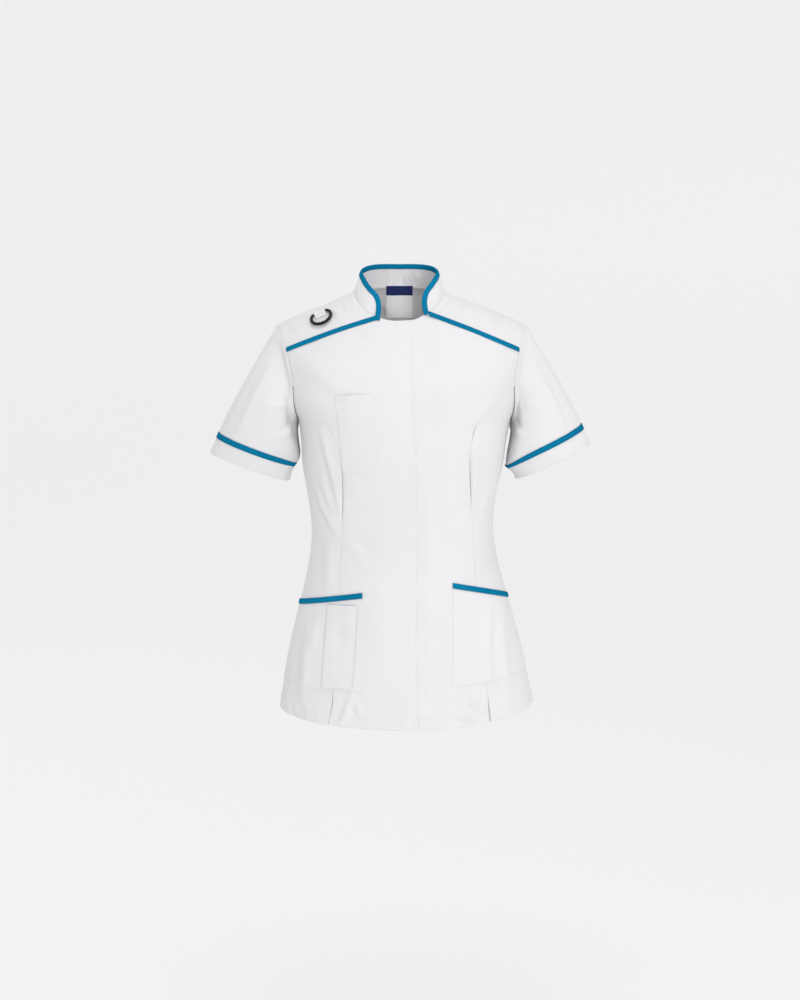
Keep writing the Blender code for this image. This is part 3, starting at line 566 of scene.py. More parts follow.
BACK_CREASES = (
    Crease(0.0090, 0.0030, ((-0.150, -0.330), (-0.110, -0.370), (-0.060, -0.395), (-0.010, -0.402))),
    Crease(0.0080, 0.0026, ((0.155, -0.335), (0.115, -0.372), (0.065, -0.390), (0.020, -0.386))),
    Crease(0.0075, 0.0024, ((-0.148, -0.375), (-0.105, -0.402), (-0.055, -0.425))),
    Crease(0.0080, 0.0024, ((0.152, -0.385), (0.100, -0.412), (0.045, -0.428))),
    Crease(0.0070, 0.0020, ((-0.145, -0.420), (-0.110, -0.440), (-0.070, -0.452))),
    Crease(0.0070, 0.0018, ((0.150, -0.430), (0.115, -0.448), (0.080, -0.456))),
    Crease(0.0110, 0.0026, ((-0.080, -0.470), (-0.092, -0.550), (-0.105, -0.640), (-0.112, -0.708))),
    Crease(0.0110, 0.0026, ((0.078, -0.465), (0.095, -0.550), (0.112, -0.640), (0.118, -0.708))),
    Crease(0.0130, 0.0022, ((-0.015, -0.500), (-0.020, -0.590), (-0.022, -0.705))),
    Crease(0.0100, 0.0020, ((0.042, -0.540), (0.050, -0.620), (0.052, -0.708))),
    Crease(0.0100, 0.0020, ((-0.160, -0.540), (-0.175, -0.620), (-0.180, -0.700))),
    Crease(0.0110, 0.0020, ((0.165, -0.540), (0.178, -0.620), (0.186, -0.695))),
    Crease(0.0110, 0.0022, ((-0.150, -0.150), (-0.115, -0.185), (-0.085, -0.235), (-0.075, -0.290))),
    Crease(0.0110, 0.0022, ((0.155, -0.145), (0.122, -0.180), (0.092, -0.230), (0.085, -0.285))),
    Crease(0.0080, 0.0018, ((-0.165, -0.200), (-0.140, -0.240), (-0.125, -0.290))),
    Crease(0.0080, 0.0018, ((0.168, -0.195), (0.145, -0.238), (0.130, -0.285))),
    Crease(0.0120, 0.0016, ((-0.090, -0.060), (-0.050, -0.085), (0.000, -0.095), (0.050, -0.086))),
    Crease(0.0080, 0.0012, ((-0.040, -0.020), (-0.020, -0.030), (0.010, -0.033))),
)


def front_field(x, z):
    """The height of all the folds of the front at places across and up."""
    total = crease_field(FRONT_CREASES, x, z)
    for bulge in FRONT_BULGES:
        reach = ((x - bulge.x) / bulge.half_width) ** 2 + ((z - bulge.z) / bulge.half_height) ** 2
        total += bulge.height * np.exp(-reach)
    total += 0.0007 * ripple(x + 0.3 * z, 1.0, 0.110) * ripple(z, 2.0, 0.170)
    return total


def back_field(x, z):
    total = crease_field(BACK_CREASES, x, z)
    return total + 0.0008 * ripple(x - 0.2 * z, 3.0, 0.120) * ripple(z, 4.0, 0.160)


def side_fade(panel):
    """1 over the front and back, falling to 0 at the side seams, where the two fields meet."""
    return ease(np.abs(panel.base[..., 1]), 0.004, 0.045)


# Materials.


def new_material(name):
    """A material with its node tree and its shader."""
    material = bpy.data.materials.new(name)
    material.use_nodes = True
    return material, material.node_tree, material.node_tree.nodes["Principled BSDF"]


def set_inputs(node, values):
    for name, value in values.items():
        node.inputs[name].default_value = value


def add_noise(tree, scale, detail=2.0):
    """Noise fixed to places on the object."""
    where = tree.nodes.new("ShaderNodeTexCoord")
    noise = tree.nodes.new("ShaderNodeTexNoise")
    set_inputs(noise, {"Scale": scale, "Detail": detail})
    tree.links.new(where.outputs["Object"], noise.inputs["Vector"])
    return noise.outputs["Fac"]


def add_ramp(tree, factor, dark, light, start=0.0, end=1.0):
    """Colours from dark to light."""
    ramp = tree.nodes.new("ShaderNodeValToRGB")
    first, last = ramp.color_ramp.elements
    first.position, last.position = start, end
    first.color, last.color = (*dark, 1), (*light, 1)
    tree.links.new(factor, ramp.inputs["Fac"])
    return ramp.outputs["Color"]


def add_bump(tree, height, strength, distance, below=None):
    """Relief, on top of any relief below it."""
    bump = tree.nodes.new("ShaderNodeBump")
    set_inputs(bump, {"Strength": strength, "Distance": distance})
    tree.links.new(height, bump.inputs["Height"])
    if below:
        tree.links.new(below, bump.inputs["Normal"])
    return bump.outputs["Normal"]


def shade(colour, share):
    return tuple(part * share for part in colour)


def cloth_material(name, light, dark, pitch, relief, roughness, sheen, shine=0.15, rib=False):
    """Woven cloth: a fine twill or rib, slow changes of tone, and a soft uneven surface."""
    material, tree, shader = new_material(name)
    set_inputs(shader, {"Roughness": roughness, "Specular IOR Level": shine})
    set_inputs(shader, {"Sheen Weight": sheen, "Sheen Roughness": 0.45})
    place = tree.nodes.new("ShaderNodeUVMap")
    place.uv_map = UV
    turn = tree.nodes.new("ShaderNodeMapping")
    turn.inputs["Rotation"].default_value = (0, 0, 0 if rib else math.radians(63))
    tree.links.new(place.outputs["UV"], turn.inputs["Vector"])
    weave = tree.nodes.new("ShaderNodeTexWave")
    set_inputs(weave, {"Scale": 0.314 / pitch, "Distortion": 1.2, "Detail": 2.0, "Detail Scale": 2.5})
    tree.links.new(turn.outputs["Vector"], weave.inputs["Vector"])
    slow, fine = add_noise(tree, 9.0, 3.0), add_noise(tree, 420.0)
    tone = tree.nodes.new("ShaderNodeMath")
    tone.operation = "MULTIPLY_ADD"
    tone.inputs[1].default_value = 0.35
    tree.links.new(fine, tone.inputs[0])
    tree.links.new(slow, tone.inputs[2])
    colour = add_ramp(tree, tone.outputs["Value"], dark, light, 0.45, 0.90)
    tree.links.new(colour, shader.inputs["Base Color"])
    soft = add_bump(tree, fine, 0.35, 0.0003)
    tree.links.new(add_bump(tree, weave.outputs["Fac"], 0.6, relief, soft), shader.inputs["Normal"])
    return material


def plastic_material(name, colour):
    """Moulded plastic with a faint grain and rubbed patches."""
    material, tree, shader = new_material(name)
    shader.inputs["Specular IOR Level"].default_value = 0.22
    grain, rub = add_noise(tree, 900.0, 3.0), add_noise(tree, 120.0)
    tree.links.new(add_ramp(tree, rub, colour, shade(colour, 2.2)), shader.inputs["Base Color"])
    rough = tree.nodes.new("ShaderNodeMapRange")
    set_inputs(rough, {"To Min": 0.28, "To Max": 0.48})
    tree.links.new(rub, rough.inputs["Value"])
    tree.links.new(rough.outputs["Result"], shader.inputs["Roughness"])
    tree.links.new(add_bump(tree, grain, 0.25, 0.00008), shader.inputs["Normal"])
    return material


def thread_material(name, colour):
    """Twisted sewing thread with small changes of tone."""
    material, tree, shader = new_material(name)
    set_inputs(shader, {"Roughness": 0.7, "Specular IOR Level": 0.1})
    twist = add_noise(tree, 2600.0)
    tree.links.new(add_ramp(tree, twist, shade(colour, 0.86), colour), shader.inputs["Base Color"])
    tree.links.new(add_bump(tree, twist, 0.5, 0.0001), shader.inputs["Normal"])
    return material


def paper_material(name):
    """Matt pale paper for the studio's sweep, with a slight glow of its own."""
    material, tree, shader = new_material(name)
    set_inputs(shader, {"Roughness": 0.95, "Specular IOR Level": 0.1})
    set_inputs(shader, {"Emission Color": (0.99, 0.99, 1.0, 1), "Emission Strength": 0.574})
    grain = add_noise(tree, 60.0)
    tree.links.new(add_ramp(tree, grain, (0.34,) * 3, (0.36,) * 3), shader.inputs["Base Color"])
    return material


def material_of(kind, settings):
    """One shared material of each kind."""
    found = bpy.data.materials.get(kind)
    if found:
        return found
    white, blue, navy = (tuple(getattr(settings, name)) for name in ("white", "blue", "navy"))
    if kind == "white_twill":
        return cloth_material(kind, white, shade(white, 0.965), 0.0006, 0.00012, 0.88, 0.15)
    if kind == "tape_weave":
        light, dark = shade(blue, 1.12), shade(blue, 0.86)
        return cloth_material(kind, light, dark, 0.0007, 0.0002, 0.80, 0.0, 0.0, rib=True)
    if kind == "label_satin":
        return cloth_material(kind, shade(navy, 1.3), navy, 0.0005, 0.00015, 0.55, 0.2, rib=True)
    if kind == "tag_satin":
        light, dark = (0.95, 0.95, 0.955), (0.92, 0.92, 0.93)
        return cloth_material(kind, light, dark, 0.0004, 0.0001, 0.50, 0.2, rib=True)
    if kind == "black_plastic":
        return plastic_material(kind, (0.005, 0.005, 0.006))
    if kind == "studio_paper":
        return paper_material(kind)
    if kind == "white_thread":
        return thread_material(kind, shade(white, 0.98))
    if kind == "blue_thread":
        return thread_material(kind, shade(blue, 0.9))
    raise ValueError(f"there is no material {kind}")


# The pieces.

# The long front seams open a little below the bust, between these heights.
SLITS = {"right": (-0.285, -0.370), "left": (-0.262, -0.352)}


def in_slit(z, side):
    """1 at heights where a long front seam stands open, 0 away from there."""
    high, low = SLITS[side]
    return ease(z, low - 0.012, low + 0.02) * (1 - ease(z, high - 0.02, high + 0.012))


def slit_depth(z, side):
    return 0.0002 + 0.0030 * in_slit(z, side)


def part_slit(panel, edge, side):
    """Draws one edge of a long seam back a little where the seam stands open."""
    edge_column, next_column = (0, 1) if edge == "left" else (-1, -2)
    places = panel.points[:, edge_column]
    inwards = Panel.unit(panel.points[:, next_column] - places)
    places += inwards * 0.0005 * in_slit(places[:, 2], side)[:, None]


def torso_panel(name, settings, field):
    """A body panel: read back, laid out finely, folded and rolled into its seams."""
    panel = Panel(read_grid(name), settings.cell, fit=SEAM_FIT)
    x, z = panel.base[..., 0], panel.base[..., 2]
    panel.raise_by(field(x, z) * side_fade(panel) * settings.folds)
    left, right, low, high = panel.edge_distances()
    across, up = panel.places()
    seed = sum(map(ord, name)) % 17
    heights = seam_roll(high, across, seed + 1)
    if name == "front_right":
        sink = -0.0007 + 0.0003 * ripple(up, 5.0, 0.095)
        heights += seam_roll(left, up, seed, slit_depth(z, "right"))
        heights += sink * np.exp(-((right / 0.022) ** 2))
    elif name == "front_left":
        heights += seam_roll(right, up, seed, slit_depth(z, "left"))
    elif name == "side_front_right":
        heights += seam_roll(left, up, seed)
        heights += seam_roll(right, up, seed + 2, slit_depth(z, "right"))
    elif name == "side_front_left":
        heights += seam_roll(left, up, seed, slit_depth(z, "left"))
        heights += seam_roll(right, up, seed + 2)
    else:
        heights += seam_roll(left, up, seed) + seam_roll(right, up, seed + 2)
    heights += hem_relief(low, across, seed)
    panel.raise_by(heights)
    if name != "back":
        inner = "left" if name in ("front_right", "side_front_left") else "right"
        part_slit(panel, inner, "right" if name.endswith("right") else "left")
    panel.turn_in(("left",) if name == "front_right" else ("left", "right"))
    panel.turn_in(("high",), depth=0.0018)
    return panel


def hem_relief(low, across, seed, depth=0.020):
    """A turned-up hem: the step at its inner fold, the stitched groove and a slightly wavy edge."""
    groove = -0.00045 * np.exp(-(((low - depth + 0.0015) / 0.0011) ** 2))
    double = 0.0004 * (1 - ease(low, depth - 0.001, depth + 0.0015))
    wave = 0.0012 * ripple(across, seed, 0.060) * np.exp(-low / 0.030)
    return groove + double + wave


class TunicSettings(bpy.types.PropertyGroup):
    """Sizes and colours of the tunic and its studio."""

    cell: bpy.props.FloatProperty(
        name="Cell", description="Size of the cloth's mesh cells",
        default=0.0042, min=0.002, max=0.02, unit="LENGTH",
    )
    thickness: bpy.props.FloatProperty(
        name="Cloth", description="Thickness of the cloth",
        default=0.0008, min=0.0002, max=0.002, unit="LENGTH",
    )
    folds: bpy.props.FloatProperty(
        name="Folds", description="How strongly the cloth is folded", default=1.6, min=0.0, max=3.0
    )
    stitch: bpy.props.FloatProperty(
        name="Stitch", description="Length of one stitch",
        default=0.0027, min=0.001, max=0.006, unit="LENGTH",
    )
    white: bpy.props.FloatVectorProperty(
        name="White", description="Colour of the cloth",
        default=(0.765, 0.76, 0.77), subtype="COLOR", min=0, max=1,
    )
    blue: bpy.props.FloatVectorProperty(
        name="Blue", description="Colour of the tapes",
        default=(0.004, 0.185, 0.345), subtype="COLOR", min=0, max=1,
    )
    navy: bpy.props.FloatVectorProperty(
        name="Navy", description="Colour of the neck label",
        default=(0.004, 0.014, 0.11), subtype="COLOR", min=0, max=1,
    )


TORSO = {
    "back": (back_field, ("yoke_right", "yoke_left")),
    "front_left": (front_field, ("yoke_left",)),
    "front_right": (front_field, ("yoke_right",)),
    "side_front_left": (front_field, ("front_left", "back")),
    "side_front_right": (front_field, ("front_right", "back")),
}


class TUNIC_OT_body(bpy.types.Operator):
    """Build the back, the fronts and the side fronts"""

    bl_idname = "tunic.body"
    bl_label = "Body panels"

    def execute(self, context):
        settings = context.scene.tunic
        material = material_of("white_twill", settings)
        for name, (field, rests_on) in TORSO.items():
            panel = torso_panel(name, settings, field)
            thing = sheet_object(
                f"{name}_cloth", panel, material, settings.thickness, "white_cloth", node=name
            )
            declare(panel, rests_on)
        return {"FINISHED"}


# The yokes' creases are placed in plan, across and forwards or back.
YOKE_CREASES = {
    "right": (
        Crease(0.0035, 0.0012, ((-0.098, -0.020), (-0.090, -0.036), (-0.083, -0.052))),
        Crease(0.0035, 0.0012, ((-0.092, -0.010), (-0.080, -0.030), (-0.072, -0.052))),
        Crease(0.0050, 0.0012, ((-0.115, -0.030), (-0.105, -0.045), (-0.090, -0.060))),
        Crease(0.0070, 0.0012, ((-0.180, -0.020), (-0.170, -0.040), (-0.150, -0.055))),
        Crease(0.0060, 0.0010, ((-0.160, 0.000), (-0.150, -0.015), (-0.150, -0.030))),
    ),
    "left": (
        Crease(0.0040, 0.0012, ((0.094, -0.012), (0.084, -0.034), (0.078, -0.055))),
        Crease(0.0050, 0.0010, ((0.118, -0.020), (0.106, -0.042), (0.092, -0.060))),
        Crease(0.0070, 0.0012, ((0.178, -0.015), (0.168, -0.038), (0.150, -0.055))),
    ),
}


class TUNIC_OT_yokes(bpy.types.Operator):
    """Build the two shoulder yokes"""

    bl_idname = "tunic.yokes"
    bl_label = "Yokes"

    def execute(self, context):
        settings = context.scene.tunic
        material = material_of("white_twill", settings)
        for side in SIDES:
            name = f"yoke_{side}"
            panel = Panel(read_grid(name, foot="y"), settings.cell * 0.8, fit=SEAM_FIT)
            x, y = panel.base[..., 0], panel.base[..., 1]
            panel.raise_by(crease_field(YOKE_CREASES[side], x, y) * settings.folds)
            left, right, low, high = panel.edge_distances()
            across, up = panel.places()
            heights = seam_roll(left, up, 3) + seam_roll(right, up, 5)
            heights += seam_roll(low, across, 7) + seam_roll(high, across, 9)
            panel.raise_by(heights)
            panel.turn_in(("low", "high", "left", "right"), depth=0.0018)
            thing = sheet_object(
                f"{name}_cloth", panel, material, settings.thickness, "white_cloth", node=name
            )
            declare(panel, ("back",))
        return {"FINISHED"}


# The sleeves' creases are placed round and down: a share of the way round from the armpit,
# going forwards over the shoulder, and a share of the way up from the hem.
SLEEVE_CREASES = (
    Crease(0.016, 0.0024, ((0.06, 0.95), (0.11, 0.70), (0.17, 0.45))),
    Crease(0.014, 0.0020, ((0.12, 0.97), (0.19, 0.78), (0.27, 0.58))),
    Crease(0.020, 0.0016, ((0.30, 0.80), (0.33, 0.50), (0.36, 0.15))),
    Crease(0.016, 0.0024, ((0.94, 0.95), (0.88, 0.70), (0.82, 0.42))),
    Crease(0.014, 0.0020, ((0.87, 0.97), (0.79, 0.76), (0.70, 0.55))),
    Crease(0.022, 0.0016, ((0.62, 0.85), (0.64, 0.50), (0.66, 0.12))),
    Crease(0.018, 0.0014, ((0.46, 0.75), (0.48, 0.40), (0.50, 0.10))),
)

# How far each sleeve sinks behind the armhole in front.
SLEEVE_HOLLOWS = {"right": 0.0095, "left": 0.0050}

# How far each sleeve's foot is drawn in under the arm.
UNDERARM_DRAWN = {"right": 0.0052, "left": 0.0040}


def sleeve_field(turn, up, flip):
    """The height of a sleeve's folds, at shares round it and up it."""
    turn = 1 - turn if flip else turn
    return crease_field(SLEEVE_CREASES, turn, up) * np.minimum(1, 4 * (1 - np.abs(2 * turn - 1)) + 0.4)


def underarm_share(turn, rise):
    """How much of the drawing-in reaches a place, by its turn from the armpit and its rise."""
    under = 1 - ease(np.minimum(turn, 1 - turn), 0.05, 0.20)
    return under * ease(rise, 0.002, 0.034) * (1 - ease(rise, 0.040, 0.095))


def hollow_share(front, high):
    """How much of the hollow behind the armhole reaches a place."""
    across = ease(front, 0.02, 0.10) * (1 - ease(front, 0.32, 0.46))
    return across * ease(high, 0.0010, 0.0140) * (1 - ease(high, 0.0140, 0.0750))


class TUNIC_OT_sleeves(bpy.types.Operator):
    """Build the sleeves, their tapes and their cuffs"""

    bl_idname = "tunic.sleeves"
    bl_label = "Sleeves"

    def execute(self, context):
        settings = context.scene.tunic
        white, blue = material_of("white_twill", settings), material_of("tape_weave", settings)
        for side in SIDES:
            names = (f"cuff_{side}", f"sleeve_tape_{side}", f"sleeve_{side}")
            fits = {name: (SEAM_FIT, SEAM_FIT) for name in names}
            fits[f"sleeve_{side}"] = (SEAM_FIT, 0.0013)
            panels = {
                name: Panel(read_grid(name, tube=True), settings.cell, tube=True, end_fit=fits[name])
                for name in names
            }
            whole = sum(panel.height for panel in panels.values())
            start = 0.0
            for name, panel in panels.items():
                across, rise = panel.places()
                turn, rise = across / panel.width, rise + start
                up = rise / whole
                start += panel.height
                fade = 0.35 + 0.65 * ease(up, 0.0, 0.35)
                panel.raise_by(sleeve_field(turn, up, side == "left") * fade * settings.folds)
                panel.raise_by(-UNDERARM_DRAWN[side] * underarm_share(turn, rise))
                _, _, low, high = panel.edge_distances()
                tape = name.startswith("sleeve_tape")
                turned, depth, rests_on = ("low", "high"), 0.0030, f"sleeve_{side}"
                if name.startswith("cuff"):
                    turned = ("high",)
                    heights = seam_roll(high, across, 2, depth=0.0006, pucker=0.0002)
                    heights += hem_relief(low, across, 5, depth=0.5)
                elif tape:
                    depth = 0.0016
                    heights = np.full(low.shape, 0.0004)
                else:
                    rests_on = f"yoke_{side}"
                    front = turn if side == "left" else 1 - turn
                    panel.raise_by(-SLEEVE_HOLLOWS[side] * hollow_share(front, high))
                    heights = seam_roll(high, across, 4)
                    heights += seam_roll(low, across, 6, depth=0.0006, pucker=0.0002)
                panel.raise_by(heights)
                panel.turn_in(turned, depth=depth)
                thing = sheet_object(
                    f"{name}_cloth", panel, blue if tape else white,
                    settings.thickness, "blue_tape" if tape else "white_cloth", node=name,
                )
                declare(panel, (rests_on,))
        return {"FINISHED"}


# The collar's creases are placed along it, from the wearer's left end, and up from its seam.
COLLAR_CREASES = (
    Crease(0.0032, -0.0019, ((0.176, 0.000), (0.180, 0.012), (0.187, 0.024))),
    Crease(0.0028, -0.0017, ((0.190, 0.000), (0.191, 0.010), (0.190, 0.020))),
    Crease(0.0032, -0.0019, ((0.204, 0.001), (0.209, 0.012), (0.211, 0.026))),
    Crease(0.0036, -0.0014, ((0.160, 0.001), (0.163, 0.012), (0.168, 0.022))),
    Crease(0.0060, 0.0008, ((0.040, 0.004), (0.060, 0.014), (0.085, 0.020))),
    Crease(0.0060, 0.0008, ((0.330, 0.004), (0.310, 0.015), (0.285, 0.022))),
)

# Where the binding ends, at the corners of the yoke tapes.
BINDING_TAILS = {"right": (-0.0335, -0.0768, -0.0475), "left": (0.0410, -0.0712, -0.0385)}


class TUNIC_OT_collar(bpy.types.Operator):
    """Build the standing collar and the tape that binds its top edge"""

    bl_idname = "tunic.collar"
    bl_label = "Collar"

    def execute(self, context):
        settings = context.scene.tunic
        white, blue = material_of("white_twill", settings), material_of("tape_weave", settings)
        panel = Panel(read_grid("collar", long=True), 0.0024, fit=0.0002, end_fit=(0.0008, 0.0002))
        _, _, low, high = panel.edge_distances()
        across, _ = panel.places()
        folds = crease_field(COLLAR_CREASES, across, low) * ease(high, 0.002, 0.012) * settings.folds
        panel.raise_by(seam_roll(low, across, 4, depth=0.0002) + folds)
        strip = binding_strip(panel)
        panel.turn_in(("low",), depth=0.0016)
        thing = sheet_object("collar_cloth", panel, white, COLLAR_THICKNESS, "white_cloth", node="collar")
        declare(panel, ("back", "yoke_right", "yoke_left"))
        thing = sheet_object(
            "collar_binding_tape", strip, blue, TAPE_THICKNESS, "blue_tape", node="collar_binding"
        )
        declare(strip, ("collar",))
        return {"FINISHED"}


def binding_strip(collar):
    """A tape folded over the collar's top edge: up the outside, over the top and down the inside."""
    wall, lie, reach = 0.0016, 0.0009, 0.0074
    half = wall / 2 + lie
    profile = [(half - 0.0004, -reach), (half + 0.0001, -reach + 0.0006)]
    profile += [(half + 0.00025, -reach * share) for share in (0.80, 0.62, 0.45, 0.28, 0.12)]
    profile += [
        (half * math.cos(turn), lie * 0.9 * math.sin(turn) + 0.0002)
        for turn in np.linspace(0.1, math.pi - 0.1, 7)
    ]
    profile += [(-half - 0.00025, -reach * share) for share in (0.12, 0.28, 0.45, 0.62, 0.80)]
    profile += [(-half - 0.0001, -reach + 0.0006), (-half + 0.0004, -reach)]
    profile = np.array(profile)
    cell = 0.0015
    u = np.linspace(0, collar.width, round(collar.width / cell) + 1)
    top, _ = collar.at(u, np.full(u.shape, collar.height))
    below, _ = collar.at(u, np.full(u.shape, collar.height - 0.004))
    up = top - below
    shares = np.linspace(1, 0.2, 5)[:, None]
    first, last = np.array(BINDING_TAILS["left"]), np.array(BINDING_TAILS["right"])
    first_tail = top[0] + (first - top[0]) * shares
    last_tail = top[-1] + (last - top[-1]) * shares[::-1]
    top = np.concatenate([first_tail, top, last_tail])
    up = Panel.unit(np.concatenate([np.repeat(up[:1], 5, 0), up, np.repeat(up[-1:], 5, 0)]))
    # At the tails the fold comes to face the neck opening.
    share = ease(np.arange(len(up)), 12, 4)[:, None]
    up = up * (1 - share) + np.array((-1, 0, 0.2)) * share
    share = share[::-1]
    up = up * (1 - share) + np.array((1, 0, 0.2)) * share
    for _ in range(6):
        top[1:-1] += (top[2:] + top[:-2] - 2 * top[1:-1]) * 0.25
    u = np.concatenate([[0], np.cumsum(np.linalg.norm(np.diff(top, axis=0), axis=1))])
    along = np.gradient(top, axis=0)
    up -= along * (np.einsum("ij,ij->i", up, along) / np.einsum("ij,ij->i", along, along))[:, None]
    up = Panel.unit(up)
    out = Panel.unit(np.cross(along, up))
    middle = top - out * wall / 2
    rows = []
    for away, rise in profile:
        wobble = 1 + 0.10 * ripple(u, away * 900, 0.021)
        rows.append(middle + out * (away * wobble)[:, None] + up * rise)
    steps = np.linalg.norm(np.diff(profile, axis=0), axis=1)
    return Panel.laid(np.array(rows), u, np.concatenate([[0], np.cumsum(steps)]))


def patch_relief(panel, seed, sides=(True, True), depth=0.0003):
    """A patch sewn down round its sides and foot: its edges sink to the cloth beneath."""
    left, right, low, _ = panel.edge_distances()
    across, up = panel.places()
    heights = np.full(left.shape, -0.0012)
    for shown, distance, along in ((sides[0], left, up), (sides[1], right, up), (True, low, across)):
        if shown:
            heights += seam_roll(distance, along, seed, depth=depth, pucker=0.0002)
            heights -= 0.0001 * np.exp(-(((distance - 0.0022) / 0.0009) ** 2))
            seed += 3
    return heights


# Each patch pocket, with which of its left and right edges are sewn down.
Patch = namedtuple("Patch", "name sides rests_on")
PATCHES = (
    Patch("hip_pocket_right", (False, True), ("front_right", "side_front_right")),
    Patch("hip_pocket_left", (True, False), ("front_left", "side_front_left")),
    Patch("instrument_pocket", (True, True), ("hip_pocket_right",)),
    Patch("pen_pocket", (True, True), ("front_right",)),
)


class TUNIC_OT_pockets(bpy.types.Operator):
    """Build the four patch pockets and the tapes across the hip pockets"""

    bl_idname = "tunic.pockets"
    bl_label = "Pockets"

    def execute(self, context):
        settings = context.scene.tunic
        white, blue = material_of("white_twill", settings), material_of("tape_weave", settings)
        for number, patch in enumerate(PATCHES):
            panel = Panel(read_grid(patch.name), settings.cell * 0.85, fit=0.0001)
            x, z = panel.base[..., 0], panel.base[..., 2]
            panel.raise_by(front_field(x, z) * side_fade(panel) * settings.folds)
            heights = patch_relief(panel, 2 + 5 * number, patch.sides)
            _, _, _, high = panel.edge_distances()
            if not patch.name.startswith("hip"):
                across, _ = panel.places()
                middle = np.sin(np.pi * np.clip(across / panel.width, 0, 1))
                heights += hem_relief(high, across, number, depth=0.012)
                heights += 0.0010 * middle * np.exp(-high / 0.030)
            panel.raise_by(heights)
            thing = sheet_object(
                f"{patch.name}_cloth", panel, white, PATCH_THICKNESS, "white_cloth", node=patch.name
            )
            declare(panel, patch.rests_on)
        for side in SIDES:
            name = f"pocket_tape_{side}"
            panel = tape_panel(name)
            x, z = panel.base[..., 0], panel.base[..., 2]
            panel.raise_by(front_field(x, z) * side_fade(panel) * settings.folds)
            thing = sheet_object(f"{name}_cloth", panel, blue, TAPE_THICKNESS, "blue_tape", node=name)
            declare(panel, (f"hip_pocket_{side}",))
        return {"FINISHED"}


def tape_panel(name, sink=0.0007, cell=0.0022, reach=(0.0, 0.0)):
    """A narrow tape: round at both edges, which sink to what it lies on."""
    grid = read_grid(name, long=True)
    grid[:, 0] += Panel.unit(grid[:, 0] - grid[:, 1]) * reach[0]
    grid[:, -1] += Panel.unit(grid[:, -1] - grid[:, -2]) * reach[1]
    panel = Panel(grid, cell)
    rows = 10
    places = np.linspace(0, panel.height, rows + 1)
    base = hermite(panel.v, panel.base, places)
    panel.v, panel.base, panel.points = places, base, base.copy()
    panel.normals = panel.directions(base)
    _, _, low, high = panel.edge_distances()
    edge = np.minimum(low, high)
    across, _ = panel.places()
    wave = 0.00015 * ripple(across, len(name), 0.015) * np.exp(-edge / 0.003)
    panel.raise_by(-sink * np.exp(-edge / 0.0007) + wave)
    return panel


# How much further than its solid each yoke tape runs, at its left and right ends.
YOKE_TAPE_REACH = {"right": (0.0004, 0.0006), "left": (0.0022, 0.0004)}


class TUNIC_OT_piping(bpy.types.Operator):
    """Build the flat tapes let into the yoke seams"""

    bl_idname = "tunic.piping"
    bl_label = "Yoke tapes"

    def execute(self, context):
        blue = material_of("tape_weave", context.scene.tunic)
        for side in SIDES:
            name = f"yoke_piping_{side}"
            panel = tape_panel(name, sink=0.0008, reach=YOKE_TAPE_REACH[side])
            thing = sheet_object(f"{name}_cloth", panel, blue, TAPE_THICKNESS, "blue_tape", node=name)
            declare(panel, (f"front_{side}", f"yoke_{side}"))
        return {"FINISHED"}


# Each label's node, kind of material and slot.
LABELS = (
    ("neck_label", "label_satin", "navy_label"),
    ("neck_tag", "tag_satin", "white_tag"),
)


class TUNIC_OT_label(bpy.types.Operator):
    """Build the bare woven label and the tag that hangs below it"""

    bl_idname = "tunic.label"
    bl_label = "Neck label"

    def execute(self, context):
        settings = context.scene.tunic
        for name, kind, slot in LABELS:
            grid = read_grid(name, inner=True)
            middle = grid[..., 0].mean()
            grid[..., 0] = middle + (grid[..., 0] - middle) * 1.06
            if name == "neck_label":
                # Its upper part laps over the collar's seam.
                rise = ease(grid[..., 2], -0.0074, 0.0026)
                grid[..., 2] += 0.0055 * rise
                grid[..., 1] -= 0.0052 * rise
            panel = Panel(grid, 0.0012)
            left, right, low, high = panel.edge_distances()
            edge = np.minimum(np.minimum(left, right), np.minimum(low, high))
            across, _ = panel.places()
            curl = 0.0004 * ripple(across + 0.5 * low, 3.0, 0.028)
            panel.raise_by(curl - 0.0003 * np.exp(-edge / 0.0006))
            material = material_of(kind, settings)
            thing = sheet_object(f"{name}_cloth", panel, material, LABEL_THICKNESS, slot, node=name)
            declare(panel, ("back",))
        return {"FINISHED"}


class TUNIC_OT_ring(bpy.types.Operator):
    """Build the ring on the wearer's right shoulder and the loop of cloth that holds it"""

    bl_idname = "tunic.ring"
    bl_label = "Ring and keeper"

    def execute(self, context):
        settings = context.scene.tunic
        panel = Panel(read_grid("ring_keeper"), 0.0010)
        left, right, _, _ = panel.edge_distances()
        panel.raise_by(-0.0002 * np.exp(-np.minimum(left, right) / 0.0006))
        white = material_of("white_twill", settings)
        thing = sheet_object(
            "ring_keeper_cloth", panel, white, TAPE_THICKNESS, "white_cloth", node="ring_keeper"
        )
        declare(panel, ("yoke_right",))
        mesh = merged("d_ring")
        hinge = Vector(frame["joints"][0]["pos_m"])
        axis = Vector(frame["joints"][0]["axis"])
        for vertex in mesh.verts:
            away = vertex.co - hinge
            away -= axis * away.dot(axis)
            vertex.co += vertex.normal * 0.0005 * min(max((away.length - 0.003) / 0.004, 0), 1)
        data = bpy.data.meshes.new("d_ring_moulded")
        bmesh.ops.join_triangles(
            mesh, faces=mesh.faces[:], angle_face_threshold=1.2, angle_shape_threshold=3.1
        )
        mesh.to_mesh(data)
        mesh.free()
        data.shade_smooth()
        data.materials.clear()
        data.materials.append(material_of("black_plastic", settings))
        ring = bpy.data.objects.new("d_ring_moulded", data)
        bpy.context.scene.collection.objects.link(ring)
        smooth = ring.modifiers.new("Smooth", "SUBSURF")
        smooth.levels = smooth.render_levels = 2
        settle(ring, "black_ring", body="d_ring", node="d_ring")
        return {"FINISHED"}


# Stitching.


